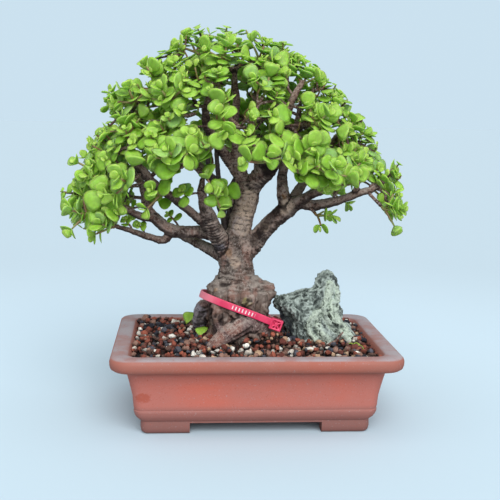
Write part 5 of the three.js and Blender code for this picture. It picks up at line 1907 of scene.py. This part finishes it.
@functools.lru_cache(maxsize=None)
def shoot_material():
    """Young shoots: brownish green turning red-brown."""
    looks = bpy.context.scene.bonsai_wood
    finish, nodes = new_material("Young Shoot")
    patches = nodes.between(nodes.noise(120.0), 0.35, 0.65)
    colour = nodes.mix(patches, looks.shoot_red, looks.shoot_green)
    colour = nodes.mix(specks(nodes, 1500.0, 0.56, 0.7), colour, (0.25, 0.17, 0.1, 1))
    close_material(nodes, colour, nodes.between(patches, 0, 1, 0.45, 0.55), grit(nodes, 1500.0), 0.3, 0.15)
    return finish


@functools.lru_cache(maxsize=None)
def twig_material():
    """Thin twigs: dark red-brown with paler rings where leaves once stood; the thicker stems behind the
    limbs are painted near-black as shade.
    """
    looks = bpy.context.scene.bonsai_wood
    finish, nodes = new_material("Twig Bark")
    along = nodes.value("along")
    wave = nodes.sums("SINE", nodes.times(along, np.pi / 2.3))
    rings = nodes.between(wave, 0.72, 0.98)
    colour = nodes.mix(nodes.between(nodes.noise(140.0), 0.35, 0.65), looks.twig_dark, looks.twig_brown)
    colour = nodes.mix(nodes.times(rings, 0.4), colour, looks.bark_pale)
    colour = nodes.mix(specks(nodes, 1100.0, 0.55, 0.68), colour, looks.bark_pale)
    # painted shade: the stems behind the limbs, the only ones this thick, go near-black
    back_stem_shade = nodes.between(nodes.value("girth"), 1.55, 1.7, 0.0, 0.8)
    colour = nodes.mix(back_stem_shade, colour, (0.05, 0.045, 0.048, 1))
    sheen = nodes.varied(300.0, 0.55, 0.75)
    close_material(nodes, colour, sheen, grit(nodes, 1300.0), 0.5, 0.25, Specular_IOR_Level=0.25)
    return finish


@functools.lru_cache(maxsize=None)
def bark_material():
    """Old bark: grey-brown with reddish and pale patches, fine rings across each limb, a purplish root, and
    the marks of cuts and buds. Painted shade darkens the grooves, forks, undersides, the shade marks and the
    dents by the roots. Painted light pales the upward faces and, through the pale tan marks, the limbs'
    fronts."""
    looks = bpy.context.scene.bonsai_wood
    finish, nodes = new_material("Old Bark")
    along, girth, hollow_shade = nodes.value("along"), nodes.value("girth"), nodes.value("hollow_shade")
    broad = nodes.noise(55.0, detail=4.0)
    grain = nodes.noise(560.0, detail=5.0, rough_share=0.7)
    strand = nodes.noise(430.0, nodes.stretched((1, 1, 0.22)), 5.0, 0.7)
    base = nodes.value("base")
    fine = nodes.plus(grain, nodes.times(base, nodes.minus(strand, grain)))
    patches = nodes.noise(120.0, detail=3.0)
    colour = nodes.mix(nodes.between(broad, 0.36, 0.62), looks.bark_brown, looks.bark_grey)
    red = nodes.between(nodes.noise(85.0, nodes.stretched((1, 1, 0.5))), 0.48, 0.66, 0.0, 0.7)
    height = nodes.part_of(nodes.place(), "Z")
    upper = nodes.between(height, 0.135, 0.2, 0.0, 0.45)
    colour = nodes.mix(nodes.sums("MAXIMUM", red, upper), colour, looks.bark_red)
    limb = nodes.between(height, 0.115, 0.14)
    light_patch = nodes.times(limb, nodes.between(patches, 0.42, 0.62, 0.1, 0.85))
    colour = nodes.mix(light_patch, colour, looks.limb_light)
    dark_patch = nodes.times(limb, nodes.between(patches, 0.46, 0.35, 0.0, 0.72))
    colour = nodes.mix(dark_patch, colour, looks.bark_dark)
    thin = nodes.between(girth, 5.5, 2.0, 0.0, 0.7)
    colour = nodes.mix(thin, colour, looks.twig_brown)
    colour = nodes.mix(nodes.times(nodes.value("root"), 0.6), colour, looks.root_purple)
    marks = {
        "scar": looks.scar_tan, "blue": looks.patch_blue, "bud": looks.bud_green, "red": looks.bark_red,
    }
    # partly painted light: the tan is pale enough to light the limbs' fronts under the crown
    marks["tan"] = looks.bark_tan
    for title, tint in marks.items():
        share = nodes.times(nodes.value(title), nodes.between(broad, 0.3, 0.6, 0.85, 0.55))
        colour = nodes.mix(share, colour, tint)
    colour = nodes.mix(nodes.between(fine, 0.51, 0.66, 0.0, 0.85), colour, looks.bark_pale)
    colour = nodes.mix(nodes.between(fine, 0.48, 0.35, 0.0, 0.85), colour, looks.bark_dark)
    colour = nodes.mix(nodes.times(base, 0.4), colour, looks.bark_brown)
    normal = nodes.add("ShaderNodeNewGeometry").outputs["Normal"]
    upright = nodes.part_of(normal, "Z")
    # painted light: faces that look up go pale
    over = nodes.times(
        nodes.between(upright, 0.25, 0.85, 0.0, 0.7), nodes.between(broad, 0.4, 0.6, 0.4, 1.0),
    )
    colour = nodes.mix(over, colour, looks.bark_pale)
    # painted shade: faces that look down go dark
    colour = nodes.mix(nodes.between(upright, 0.0, -0.65, 0.0, 0.82), colour, looks.bark_dark)
    # painted shade: the shade marks darken the edges between limbs and the creases by the roots
    shade = nodes.times(nodes.value("shade"), nodes.between(patches, 0.35, 0.6, 0.95, 0.7))
    colour = nodes.mix(shade, colour, looks.bark_dark)
    # the cut marks: the scars' own dark, and painted shade in the dents by the roots
    colour = nodes.mix(nodes.times(nodes.value("cut"), 0.85), colour, looks.bark_dark)
    # painted shade in the grooves, wrinkles, furrows and forks
    colour = nodes.mix(nodes.between(hollow_shade, 0.1, 0.7, 0.0, 0.88), colour, looks.bark_dark)
    wobble = nodes.times(nodes.noise(200.0), 5.0)
    rings = nodes.sums("SINE", nodes.plus(nodes.times(along, 6.4), wobble))
    ringed = nodes.times(rings, nodes.between(base, 0.2, 0.8, 0.2, 0.0))
    height = nodes.plus(ringed, nodes.times(fine, 1.6))
    sheen = nodes.between(fine, 0.3, 0.7, 0.8, 0.52)
    close_material(nodes, colour, sheen, height, 1.0, 0.7, Specular_IOR_Level=0.2)
    return finish


GRAIN_LOOKS = {
    "red_lava": ((0.33, 0.095, 0.06), (0.13, 0.04, 0.03), 0.85),
    "brown_clay": ((0.3, 0.17, 0.13), (0.12, 0.066, 0.052), 0.8),
    "black_lava": ((0.02, 0.022, 0.034), (0.08, 0.08, 0.1), 0.72),
    "pumice": ((0.82, 0.79, 0.72), (0.56, 0.5, 0.43), 0.9),
    "tan_clay": ((0.58, 0.4, 0.26), (0.36, 0.23, 0.15), 0.8),
}


def grain_material(name):
    """One mineral: two tones that differ from grain to grain, with pores and fine specks, and painted shade
    on its low side.
    """
    main, other, roughness = GRAIN_LOOKS[name]
    finish, nodes = new_material(name.replace("_", " ").title() + " Grain")
    tone = nodes.value("tone")
    colour = nodes.mix(nodes.between(tone, 0.1, 0.9), (*main, 1), (*other, 1))
    shade = nodes.between(nodes.noise(330.0, detail=4.0), 0.32, 0.68, 0.72, 1.25)
    colour = nodes.shaded(colour, shade)
    pores = specks(nodes, 1700.0, 0.58, 0.68, 0.013 * len(name))
    colour = nodes.mix(nodes.times(pores, 0.5), colour, tuple(0.35 * part for part in main) + (1,))
    # painted shade on each grain's low side
    colour = nodes.mix(nodes.times(nodes.value("painted_low_shade"), 0.93), colour, (0.006, 0.004, 0.004, 1))
    rough_map = nodes.between(nodes.noise(900.0), 0.3, 0.7, roughness - 0.12, roughness + 0.08)
    close_material(nodes, colour, rough_map, grit(nodes, 1500.0, 0.7), 0.6, 0.35, Specular_IOR_Level=0.25)
    return finish


@functools.lru_cache(maxsize=None)
def soil_material():
    """The bed between the grains: dark crumbs."""
    finish, nodes = new_material("Dark Soil")
    colour = nodes.mix(
        nodes.between(nodes.noise(420.0), 0.35, 0.65), (0.008, 0.005, 0.004, 1), (0.03, 0.017, 0.013, 1),
    )
    sheen = nodes.varied(700.0, 0.8, 0.95)
    close_material(nodes, colour, sheen, grit(nodes, 800.0), 0.8, 0.6, Specular_IOR_Level=0.2)
    return finish


@functools.lru_cache(maxsize=None)
def stone_material():
    """Craggy stone: grey-green with a painted highlight on its crests, limy folds, dark specks, painted
    shade in its pits and creases, and a painted shadow in the dark undercut.
    """
    looks = bpy.context.scene.bonsai_ground
    finish, nodes = new_material("Craggy Stone")
    hollow_shade, fold, under, crest = (nodes.value(title) for title in ("hollow_shade", "fold", "under", "crest"))
    broad = nodes.noise(70.0, detail=5.0)
    fine = nodes.noise(620.0, detail=5.0, rough_share=0.7)
    colour = nodes.mix(nodes.between(broad, 0.35, 0.65), looks.stone_dark, looks.stone_grey)
    # painted highlight: paler where the stone's ridges catch the light
    colour = nodes.mix(nodes.between(crest, 0.35, 0.95, 0.0, 0.8), colour, looks.stone_pale)
    lime = nodes.times(fold, nodes.between(nodes.noise(150.0), 0.35, 0.6, 0.45, 0.95))
    colour = nodes.mix(lime, colour, looks.stone_lime)
    colour = nodes.mix(nodes.between(fine, 0.52, 0.7, 0.0, 0.75), colour, looks.stone_pale)
    colour = nodes.mix(nodes.between(fine, 0.47, 0.33, 0.0, 0.8), colour, looks.stone_pit)
    # painted shade in the pits and creases
    colour = nodes.mix(nodes.between(hollow_shade, 0.05, 0.6, 0.0, 0.85), colour, looks.stone_pit)
    # painted shadow in the undercut
    colour = nodes.mix(nodes.times(under, 0.97), colour, looks.stone_undercut_shadow)
    sheen = nodes.between(fine, 0.3, 0.7, 0.9, 0.68)
    close_material(nodes, colour, sheen, grit(nodes, 800.0, 0.7), 0.9, 0.6, Specular_IOR_Level=0.3)
    return finish


@functools.lru_cache(maxsize=None)
def clay_material():
    """Unglazed red clay: broad warm and grey drifts, faint marks of the wheel rib along the wall, dust on
    the lip and ledges, a greyer foot, and a redder stain low on the front. Painted shade darkens the lip
    against the light it catches, and darkens the feet under the moulding."""
    looks = bpy.context.scene.bonsai_pot
    finish, nodes = new_material("Red Clay")
    drift = nodes.between(nodes.noise(14.0, nodes.stretched((1, 1, 1.8)), 4.0), 0.34, 0.66)
    colour = nodes.mix(drift, looks.clay_warm, looks.clay_cool)
    streaks = nodes.between(
        nodes.noise(40.0, nodes.stretched((0.25, 0.25, 4.0)), 3.0), 0.4, 0.7, 0.0, 0.35,
    )
    colour = nodes.mix(streaks, colour, looks.clay_cool)
    across = nodes.part_of(nodes.place(), "X")
    aside = nodes.sums("ABSOLUTE", nodes.minus(across, float(HOME[0])))
    colour = nodes.mix(nodes.between(aside, *mm(CLAY_ENDS), 0.0, 0.8), colour, looks.clay_cool)
    height = nodes.part_of(nodes.place(), "Z")
    belt = nodes.times(*(nodes.between(height, *mm(ends)) for ends in CLAY_BELT))
    colour = nodes.mix(nodes.times(nodes.minus(1.0, belt), 0.45), colour, looks.clay_cool)
    low = nodes.between(height, *mm(CLAY_LOW), 0.0, 0.86)
    colour = nodes.mix(low, colour, looks.clay_foot)
    # painted shade: the lip is darkened against the light it catches facing up and out
    lip = nodes.between(height, *mm(CLAY_LIP_SHADE))
    colour = nodes.mix(lip, colour, (0.7, 0.76, 0.71, 1), "MULTIPLY")
    # painted shade: the feet go darker where the moulding above shades them
    feet = nodes.between(height, *mm(CLAY_FEET_SHADE), 0.0, 0.6)
    colour = nodes.mix(feet, colour, (0.16, 0.075, 0.065, 1))
    stain = spot(nodes, (-83.4, -63, 30), 6.4, (1, 0.4, 1.6))
    colour = nodes.mix(nodes.times(stain, 0.7), colour, looks.clay_stain)
    dust = nodes.group(dust_group(), {"Low": 0.6, "High": 0.98, "Scale": 45.0})
    colour = nodes.mix(nodes.times(dust, 0.92), colour, looks.clay_dust)
    colour = nodes.mix(specks(nodes, 1300.0, 0.62, 0.72), colour, looks.clay_stain)
    colour = nodes.mix(nodes.times(specks(nodes, 900.0, 0.63, 0.72, 0.3), 0.5), colour, looks.clay_dust)
    close_material(nodes, colour, nodes.varied(60.0, 0.6, 0.78), grit(nodes, 1000.0, 0.5), 0.28, 0.25)
    return finish


@functools.lru_cache(maxsize=None)
def tag_material():
    """Satin plastic strap, with a painted highlight towards one end and a row of plain white bars along its
    front, a little worn.
    """
    looks = bpy.context.scene.bonsai_tag
    finish, nodes = new_material("Strap Plastic")
    along, high, front = nodes.value("along"), nodes.value("high"), nodes.value("front")
    colour = nodes.mix(nodes.between(nodes.noise(130.0), 0.35, 0.65), looks.strap_deep, looks.strap_pink)
    # painted highlight: the strap's far end is paler, as where it catches the light
    painted_highlight_end = nodes.between(along, 48.0, 62.0, 0.0, 0.5)
    colour = nodes.mix(painted_highlight_end, colour, (0.86, 0.36, 0.42, 1))
    step = nodes.sums("FRACT", nodes.sums("DIVIDE", along, BAR_PITCH))
    bars = nodes.between(nodes.sums("ABSOLUTE", nodes.minus(step, 0.5)), 0.2, 0.13)
    tall = nodes.between(nodes.sums("ABSOLUTE", high), *BAR_ENDS)
    first = nodes.between(
        nodes.sums("ABSOLUTE", nodes.minus(along, looks.bars_from)), looks.bars_half,
        looks.bars_half - 0.1,
    )
    mask = nodes.times(nodes.times(bars, tall), nodes.times(first, front))
    worn = nodes.between(nodes.noise(900.0), 0.3, 0.5, 0.8, 0.95)
    colour = nodes.mix(nodes.times(mask, worn), colour, looks.bar_white)
    close_material(nodes, colour, nodes.varied(400.0, 0.3, 0.42), grit(nodes, 1200.0), 0.08, 0.1)
    return finish


@functools.lru_cache(maxsize=None)
def screen_material():
    """Dark moulded plastic mesh, scuffed and dusty."""
    finish, nodes = new_material("Dark Mesh Plastic")
    colour = nodes.mix(
        nodes.between(nodes.noise(300.0), 0.35, 0.65), (0.012, 0.016, 0.014, 1), (0.035, 0.04, 0.036, 1),
    )
    colour = nodes.mix(specks(nodes, 900.0, 0.56, 0.7), colour, (0.12, 0.09, 0.07, 1))
    close_material(nodes, colour, nodes.varied(500.0, 0.5, 0.7), grit(nodes, 1500.0), 0.2, 0.15)
    return finish


@functools.lru_cache(maxsize=None)
def moss_material():
    """Bright yellow-green threads."""
    finish, nodes = new_material("Moss Thread")
    colour = nodes.mix(
        nodes.between(nodes.noise(300.0), 0.35, 0.65), (0.3, 0.45, 0.04, 1), (0.5, 0.62, 0.12, 1),
    )
    close_material(nodes, colour, nodes.varied(600.0, 0.5, 0.7), grit(nodes, 2000.0), 0.3, 0.1)
    return finish


@functools.lru_cache(maxsize=None)
def floor_material():
    """Plain pale floor with the faintest drift of tone. Light that bounces off it is dimmed, as a matt
    sheet would dim it, so that undersides stay dark."""
    looks = bpy.context.scene.bonsai_stage
    finish, nodes = new_material("Pale Floor")
    away = nodes.add("ShaderNodeVectorMath", {0: nodes.place()}, operation="LENGTH").outputs["Value"]
    drift = nodes.between(nodes.noise(3.0, detail=1.0), 0.3, 0.7, 0.0, 0.05)
    drift = nodes.times(drift, nodes.between(away, 3.0, 0.5))
    colour = nodes.mix(drift, looks.floor_colour, (0.5, 0.66, 0.8, 1))
    far = nodes.between(away, 0.28, 0.85, 0.0, 1.0)
    colour = nodes.mix(far, colour, looks.far_colour)
    seen = nodes.add("ShaderNodeBsdfDiffuse", {"Color": colour})
    bounced = nodes.add("ShaderNodeBsdfDiffuse", {"Color": looks.bounce_colour})
    direct = nodes.add("ShaderNodeLightPath").outputs["Is Camera Ray"]
    shader = nodes.add("ShaderNodeMixShader", {0: direct, 1: bounced.outputs[0], 2: seen.outputs[0]})
    nodes.add("ShaderNodeOutputMaterial", {"Surface": shader.outputs[0]})
    return finish


# Settings that a user would change


def colour_setting(name, about, default):
    return bpy.props.FloatVectorProperty(
        name=name, description=about, default=default, size=3, min=0.0, max=1.0, subtype="COLOR",
    )


class BonsaiFoliageSettings(bpy.types.PropertyGroup):
    """Sizes and colours of the leaves."""

    plumpness: bpy.props.FloatProperty(
        name="Leaf Thickness", description="Thickness of a full-grown leaf at its middle",
        default=1.2 * MM, min=0.5 * MM, max=4 * MM, unit="LENGTH",
    )
    deep_green: colour_setting("Deep Green", "Darkest of the grown leaves", (0.2, 0.42, 0.025))
    mid_green: colour_setting("Mid Green", "Lightest of the grown leaves", (0.29, 0.52, 0.055))
    blue_green: colour_setting("Bluish Green", "The few leaves with a blue bloom", (0.235, 0.43, 0.15))
    young_green: colour_setting("Young Green", "Leaves at the tips", (0.39, 0.57, 0.1))
    rim_green: colour_setting("Rim Green", "Tint along a leaf's rim", (0.36, 0.54, 0.13))
    under_green: colour_setting("Underside Green", "Tint under a leaf", (0.3, 0.49, 0.12))


class BonsaiWoodSettings(bpy.types.PropertyGroup):
    """Sizes and colours of the bark and twigs."""

    relief: bpy.props.FloatProperty(
        name="Bark Relief", description="How strongly the grooves and furrows are cut", default=1.0,
        min=0.0, max=2.0, subtype="FACTOR",
    )
    bark_grey: colour_setting("Bark Grey", "Weathered bark", (0.195, 0.16, 0.138))
    bark_brown: colour_setting("Bark Brown", "Darker bark", (0.13, 0.085, 0.068))
    bark_red: colour_setting("Bark Red", "Reddish patches", (0.34, 0.172, 0.132))
    # Bark Tan is pale enough to paint light on the limbs' fronts as well
    bark_tan: colour_setting("Bark Tan", "Olive tan patches", (0.72, 0.54, 0.41))
    # Bark Pale also paints the light on the bark's upward faces
    bark_pale: colour_setting("Bark Pale", "Pale flecks", (0.44, 0.375, 0.335))
    limb_light: colour_setting("Limb Light", "Lighter patches on the limbs", (0.56, 0.43, 0.365))
    # Bark Dark also paints the shade in grooves, forks, undersides and the shade and cut marks
    bark_dark: colour_setting("Bark Dark", "Grooves and hollows", (0.022, 0.014, 0.013))
    root_purple: colour_setting("Root Purple", "The surface roots", (0.2, 0.125, 0.125))
    twig_brown: colour_setting("Twig Brown", "Twigs", (0.18, 0.1, 0.075))
    twig_dark: colour_setting("Twig Dark", "Darker twigs", (0.075, 0.04, 0.034))
    shoot_red: colour_setting("Shoot Red", "Older part of a shoot", (0.24, 0.12, 0.06))
    shoot_green: colour_setting("Shoot Green", "Younger part of a shoot", (0.26, 0.33, 0.08))
    scar_tan: colour_setting("Scar Tan", "Fresh scars", (0.42, 0.23, 0.11))
    patch_blue: colour_setting("Patch Blue", "Healed cut with a blue-grey skin", (0.3, 0.3, 0.36))
    bud_green: colour_setting("Bud Green", "A bud on the trunk", (0.42, 0.4, 0.12))


class BonsaiPotSettings(bpy.types.PropertyGroup):
    """Colours of the clay."""

    clay_warm: colour_setting("Warm Clay", "The redder drifts", (0.56, 0.13, 0.085))
    clay_cool: colour_setting("Cool Clay", "The greyer drifts", (0.46, 0.15, 0.118))
    clay_dust: colour_setting("Dust", "Dust on the lip and ledges", (0.36, 0.33, 0.355))
    clay_foot: colour_setting("Foot", "The moulding and the feet", (0.31, 0.125, 0.105))
    clay_stain: colour_setting("Stain", "The redder stain and specks", (0.38, 0.07, 0.035))


class BonsaiGroundSettings(bpy.types.PropertyGroup):
    """Colours of the stone that stands in the gravel."""

    stone_grey: colour_setting("Stone Grey", "Most of the stone", (0.2, 0.24, 0.215))
    stone_dark: colour_setting("Stone Dark", "Darker drifts", (0.085, 0.105, 0.1))
    # Stone Pale also paints the highlight on the crests
    stone_pale: colour_setting("Stone Pale", "Crests and flecks", (0.5, 0.585, 0.54))
    stone_lime: colour_setting("Stone Lime", "The pale folds", (0.54, 0.63, 0.52))
    # Stone Pits also paints the shade in pits and creases
    stone_pit: colour_setting("Stone Pits", "Pits and creases", (0.035, 0.045, 0.042))
    # The undercut's near-black is a painted shadow
    stone_undercut_shadow: colour_setting("Stone Undercut", "The dark undercut", (0.012, 0.015, 0.024))


class BonsaiTagSettings(bpy.types.PropertyGroup):
    """Colours of the strap and where its bars are."""

    strap_pink: colour_setting("Strap Pink", "The strap", (0.78, 0.06, 0.15))
    strap_deep: colour_setting("Strap Deep", "The strap's darker drifts", (0.66, 0.035, 0.11))
    bar_white: colour_setting("Bar White", "The plain bars", (0.85, 0.8, 0.8))
    bars_from: bpy.props.FloatProperty(
        name="Bars' Middle",
        description="How far along the strap the row of bars is centred, in millimetres", default=30.0,
    )
    bars_half: bpy.props.FloatProperty(
        name="Bars' Half Length", description="Half the length of the row of bars, in millimetres",
        default=9.5,
    )


class BonsaiStageSettings(bpy.types.PropertyGroup):
    """Floor and lights."""

    floor_colour: colour_setting("Floor", "The plain floor", (0.538, 0.664, 0.746))
    far_colour: colour_setting("Far Floor", "The floor where it meets the backdrop", (0.486, 0.594, 0.664))
    backdrop_colour: colour_setting("Backdrop", "The plain backdrop past the floor", (0.6, 0.755, 0.865))
    bounce_colour: colour_setting(
        "Bounce", "What the floor throws back onto the object", (0.42, 0.46, 0.5),
    )
    floor_radius: bpy.props.FloatProperty(
        name="Floor Radius", description="How far the floor reaches", default=60.0, min=5.0, unit="LENGTH",
    )
    sun_strength: bpy.props.FloatProperty(
        name="Main Light", description="Strength of the broad light from above and in front", default=2.5,
        min=0.0,
    )
    sun_height: bpy.props.FloatProperty(
        name="Main Light Height", description="How high the main light stands over the horizon",
        default=0.66, subtype="ANGLE",
    )
    sky_strength: bpy.props.FloatProperty(
        name="Sky", description="Strength of the even light from all round", default=0.55, min=0.0,
    )


# Operators


class BONSAI_OT_leaves(bpy.types.Operator):
    """Make the leafy sprays"""

    bl_idname = "bonsai.leaves"
    bl_label = "Leafy Sprays"

    def execute(self, context):
        for index, points, faces, leaf_faces, values in spray_meshes():
            number = f"spray_{index + 1:02d}"
            mesh = mesh_from(f"{number}_leaves", place_mm(points), faces)
            finishes = [leaf_material(), shoot_material()]
            piece = finish_piece(mesh, finishes, (number,), values=values)
            which = np.zeros(len(mesh.polygons), np.int32)
            which[leaf_faces:] = 1
            piece.data.polygons.foreach_set("material_index", which)
        return {"FINISHED"}


class BONSAI_OT_wood(bpy.types.Operator):
    """Make the trunk, roots, limbs and twigs"""

    bl_idname = "bonsai.wood"
    bl_label = "Trunk and Twigs"

    def execute(self, context):
        mesh, values = wood_skin()
        finish_piece(mesh, [bark_material()], ("trunk_and_limbs",), values=values)
        points, faces, values = thin_twigs()
        mesh = mesh_from("thin_twigs", place_mm(points), faces)
        finish_piece(mesh, [twig_material()], ("trunk_and_limbs",), values=values)
        return {"FINISHED"}


class BONSAI_OT_pot(bpy.types.Operator):
    """Make the clay pot and finish its drain screens"""

    bl_idname = "bonsai.pot"
    bl_label = "Clay Pot"

    def execute(self, context):
        piece = finish_piece(pot_mesh(), [clay_material()], ("pot",))
        piece.data.set_sharp_from_angle(angle=0.7)
        for name in ("drain_screen_left", "drain_screen_right"):
            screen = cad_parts[name]
            for holder in screen.material_slots:
                holder.material = screen_material()
        return {"FINISHED"}


class BONSAI_OT_gravel(bpy.types.Operator):
    """Make the gravel: a dark bed and loose grains of five minerals"""

    bl_idname = "bonsai.gravel"
    bl_label = "Gravel"

    def execute(self, context):
        points, *faces = soil_bed()
        mesh = mesh_from("soil_bed", place_mm(points), faces)
        finish_piece(mesh, [soil_material()], ("gravel_bed",))
        for name, points, faces, values in grains():
            mesh = mesh_from(f"{name}_grains", place_mm(points), faces)
            finish_piece(
                mesh, [grain_material(name)], ("gravel_bed",), smooth=False, values=values,
            )
        return {"FINISHED"}


class BONSAI_OT_stone(bpy.types.Operator):
    """Make the craggy stone"""

    bl_idname = "bonsai.stone"
    bl_label = "Stone"

    def execute(self, context):
        mesh, values = stone_skin()
        finish_piece(mesh, [stone_material()], ("stone",), values=values)
        return {"FINISHED"}


class BONSAI_OT_tag(bpy.types.Operator):
    """Make the strap tag and its lock"""

    bl_idname = "bonsai.tag"
    bl_label = "Strap Tag"

    def execute(self, context):
        points, faces, values = strap_band()
        mesh = mesh_from("strap_band", place_mm(points), faces)
        finish_piece(mesh, [tag_material()], ("strap_tag",), values=values)
        finish_piece(lock_skin(), [tag_material()], ("strap_tag",))
        return {"FINISHED"}


class BONSAI_OT_litter(bpy.types.Operator):
    """Make the fallen leaves, the dry twig and the moss on the gravel"""

    bl_idname = "bonsai.litter"
    bl_label = "Fallen Leaves and Moss"

    def execute(self, context):
        for number, place in enumerate(FALLEN, start=1):
            points, faces, values = leaves_mesh([fallen_leaf(*place)], 40 + number)
            mesh = mesh_from(f"fallen_leaf_{number}_blade", place_mm(points), faces)
            finish_piece(mesh, [leaf_material()], (f"fallen_leaf_{number}",), values=values)
        points, quads, triangles, along, girth = tube(DRY_TWIG, (1.1, 1, 0.9, 0.7), 10, 16, twig_section)
        mesh = mesh_from("dry_twig", place_mm(points), [quads, triangles])
        finish_piece(mesh, [twig_material()], values={"along": along, "girth": girth})
        points, faces = gathered([tube(path, (0.42, 0.36, 0.3, 0.2), 8, 12)[:3] for path in MOSS])
        finish_piece(mesh_from("moss_threads", place_mm(points), faces), [moss_material()])
        return {"FINISHED"}


def level_disc(radius, sides=96, rings=12):
    """A level round floor: rings whose radius grows with the square of their number, about a middle
    point."""
    reach = radius * (np.arange(1, rings + 1) / rings) ** 2
    turn = 2 * np.pi * np.arange(sides) / sides
    flat = reach[:, None, None] * np.stack([np.cos(turn), np.sin(turn), 0 * turn], axis=-1)
    points = np.vstack([flat.reshape(-1, 3), [[0, 0, 0]]])
    return points, [grid_faces(rings, sides)[:, ::-1], cap_faces(0, sides, len(points) - 1)]


def broad_light(name, towards, height, strength, softness):
    """A light as broad as a wall of soft boxes, from a compass turn and a height over the horizon."""
    lamp = bpy.data.lights.new(name, "SUN")
    lamp.energy = strength
    lamp.angle = softness
    carrier = bpy.data.objects.new(name, lamp)
    back = np.array([np.cos(height) * np.sin(towards), -np.cos(height) * np.cos(towards), np.sin(height)])
    side = unit(np.cross([0, 0, 1.0], back))
    turn = np.eye(4)
    turn[:3, 0], turn[:3, 1], turn[:3, 2] = side, np.cross(back, side), back
    turn[:3, 3] = 2 * back
    carrier.matrix_world = Matrix(turn.tolist())
    bpy.context.scene.collection.objects.link(carrier)


class BONSAI_OT_stage(bpy.types.Operator):
    """Make the floor, the lights and the camera"""

    bl_idname = "bonsai.stage"
    bl_label = "Stage"

    def execute(self, context):
        looks = context.scene.bonsai_stage
        points, faces = level_disc(looks.floor_radius)
        mesh = mesh_from("floor", points + [0, 0, MODEL_BOX[0][2]], faces)
        mesh.materials.append(floor_material())
        mesh.polygons.foreach_set("use_smooth", np.full(len(mesh.polygons), True))
        floor = bpy.data.objects.new("floor", mesh)
        context.scene.collection.objects.link(floor)
        floor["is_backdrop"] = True
        sky = bpy.data.worlds.new("Pale Sky")
        sky.use_nodes = True
        nodes = Nodes(sky.node_tree)
        light = nodes.add(
            "ShaderNodeBackground", {"Color": (0.9, 0.96, 1.0, 1), "Strength": looks.sky_strength},
        )
        backdrop = nodes.add("ShaderNodeBackground", {"Color": looks.backdrop_colour, "Strength": 1.0})
        direct = nodes.add("ShaderNodeLightPath").outputs["Is Camera Ray"]
        mixed = nodes.add("ShaderNodeMixShader", {0: direct, 1: light.outputs[0], 2: backdrop.outputs[0]})
        nodes.add("ShaderNodeOutputWorld", {"Surface": mixed.outputs[0]})
        context.scene.world = sky
        broad_light("main_light", 0.12, looks.sun_height, looks.sun_strength, 0.8)
        broad_light("top_light", -0.3, 1.3, 0.3 * looks.sun_strength, 1.2)
        broad_light("front_light", 0.0, 0.14, 0.16 * looks.sun_strength, 1.2)
        context.scene.view_settings.view_transform = "Standard"
        return {"FINISHED"}


def set_camera():
    """The camera, turned by its yaw about the vertical, its pitch downwards, and its roll."""
    yaw, pitch, roll = CAMERA_YAW, CAMERA_PITCH, CAMERA_ROLL
    ahead = np.array([-np.sin(yaw) * np.cos(pitch), np.cos(yaw) * np.cos(pitch), -np.sin(pitch)])
    level = np.array([np.cos(yaw), np.sin(yaw), 0])
    over = np.cross(level, ahead)
    turn = np.eye(4)
    turn[:3, 0] = level * np.cos(roll) + over * np.sin(roll)
    turn[:3, 1] = over * np.cos(roll) - level * np.sin(roll)
    turn[:3, 2] = -ahead
    turn[:3, 3] = place_mm(CAMERA_AT)
    lens = bpy.data.cameras.new("camera")
    lens.lens = LENS
    lens.sensor_width = 36.0
    lens.clip_start = 0.01
    lens.clip_end = 50.0
    camera = bpy.data.objects.new("camera", lens)
    camera.matrix_world = Matrix(turn.tolist())
    bpy.context.scene.collection.objects.link(camera)
    bpy.context.scene.camera = camera


class VIEW3D_PT_bonsai(bpy.types.Panel):
    """The steps that make the bonsai, in order"""

    bl_label = "Dwarf Jade Bonsai"
    bl_idname = "VIEW3D_PT_bonsai"
    bl_space_type = "VIEW_3D"
    bl_region_type = "UI"
    bl_category = "Bonsai"

    def draw(self, context):
        for operator in OPERATORS:
            self.layout.operator(operator.bl_idname)
        for title, group in SETTINGS.items():
            box = self.layout.box()
            box.label(text=group.__doc__)
            for name in group.__annotations__:
                box.prop(getattr(context.scene, title), name)


SETTINGS = {
    "bonsai_foliage": BonsaiFoliageSettings, "bonsai_wood": BonsaiWoodSettings,
    "bonsai_pot": BonsaiPotSettings, "bonsai_ground": BonsaiGroundSettings,
    "bonsai_tag": BonsaiTagSettings, "bonsai_stage": BonsaiStageSettings,
}
OPERATORS = (
    BONSAI_OT_pot, BONSAI_OT_gravel, BONSAI_OT_stone, BONSAI_OT_wood, BONSAI_OT_leaves, BONSAI_OT_tag,
    BONSAI_OT_litter, BONSAI_OT_stage,
)


def register():
    for group in SETTINGS.values():
        bpy.utils.register_class(group)
    for title, group in SETTINGS.items():
        setattr(bpy.types.Scene, title, bpy.props.PointerProperty(type=group))
    for operator in OPERATORS:
        bpy.utils.register_class(operator)
    bpy.utils.register_class(VIEW3D_PT_bonsai)


def unregister():
    bpy.utils.unregister_class(VIEW3D_PT_bonsai)
    for operator in reversed(OPERATORS):
        bpy.utils.unregister_class(operator)
    for title in SETTINGS:
        delattr(bpy.types.Scene, title)
    for group in SETTINGS.values():
        bpy.utils.unregister_class(group)


def main():
    """Sets the camera, makes every piece by its operator, and works out the model's box and the visual box.
    """
    register()
    set_camera()
    for step in ("pot", "gravel", "stone", "wood", "leaves", "tag", "litter", "stage"):
        getattr(bpy.ops.bonsai, step)()
    sizes = {"cad": MODEL_BOX, "visual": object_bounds()}
    plain = {title: [list(corner) for corner in box] for title, box in sizes.items()}


if __name__ == "__main__":
    main()
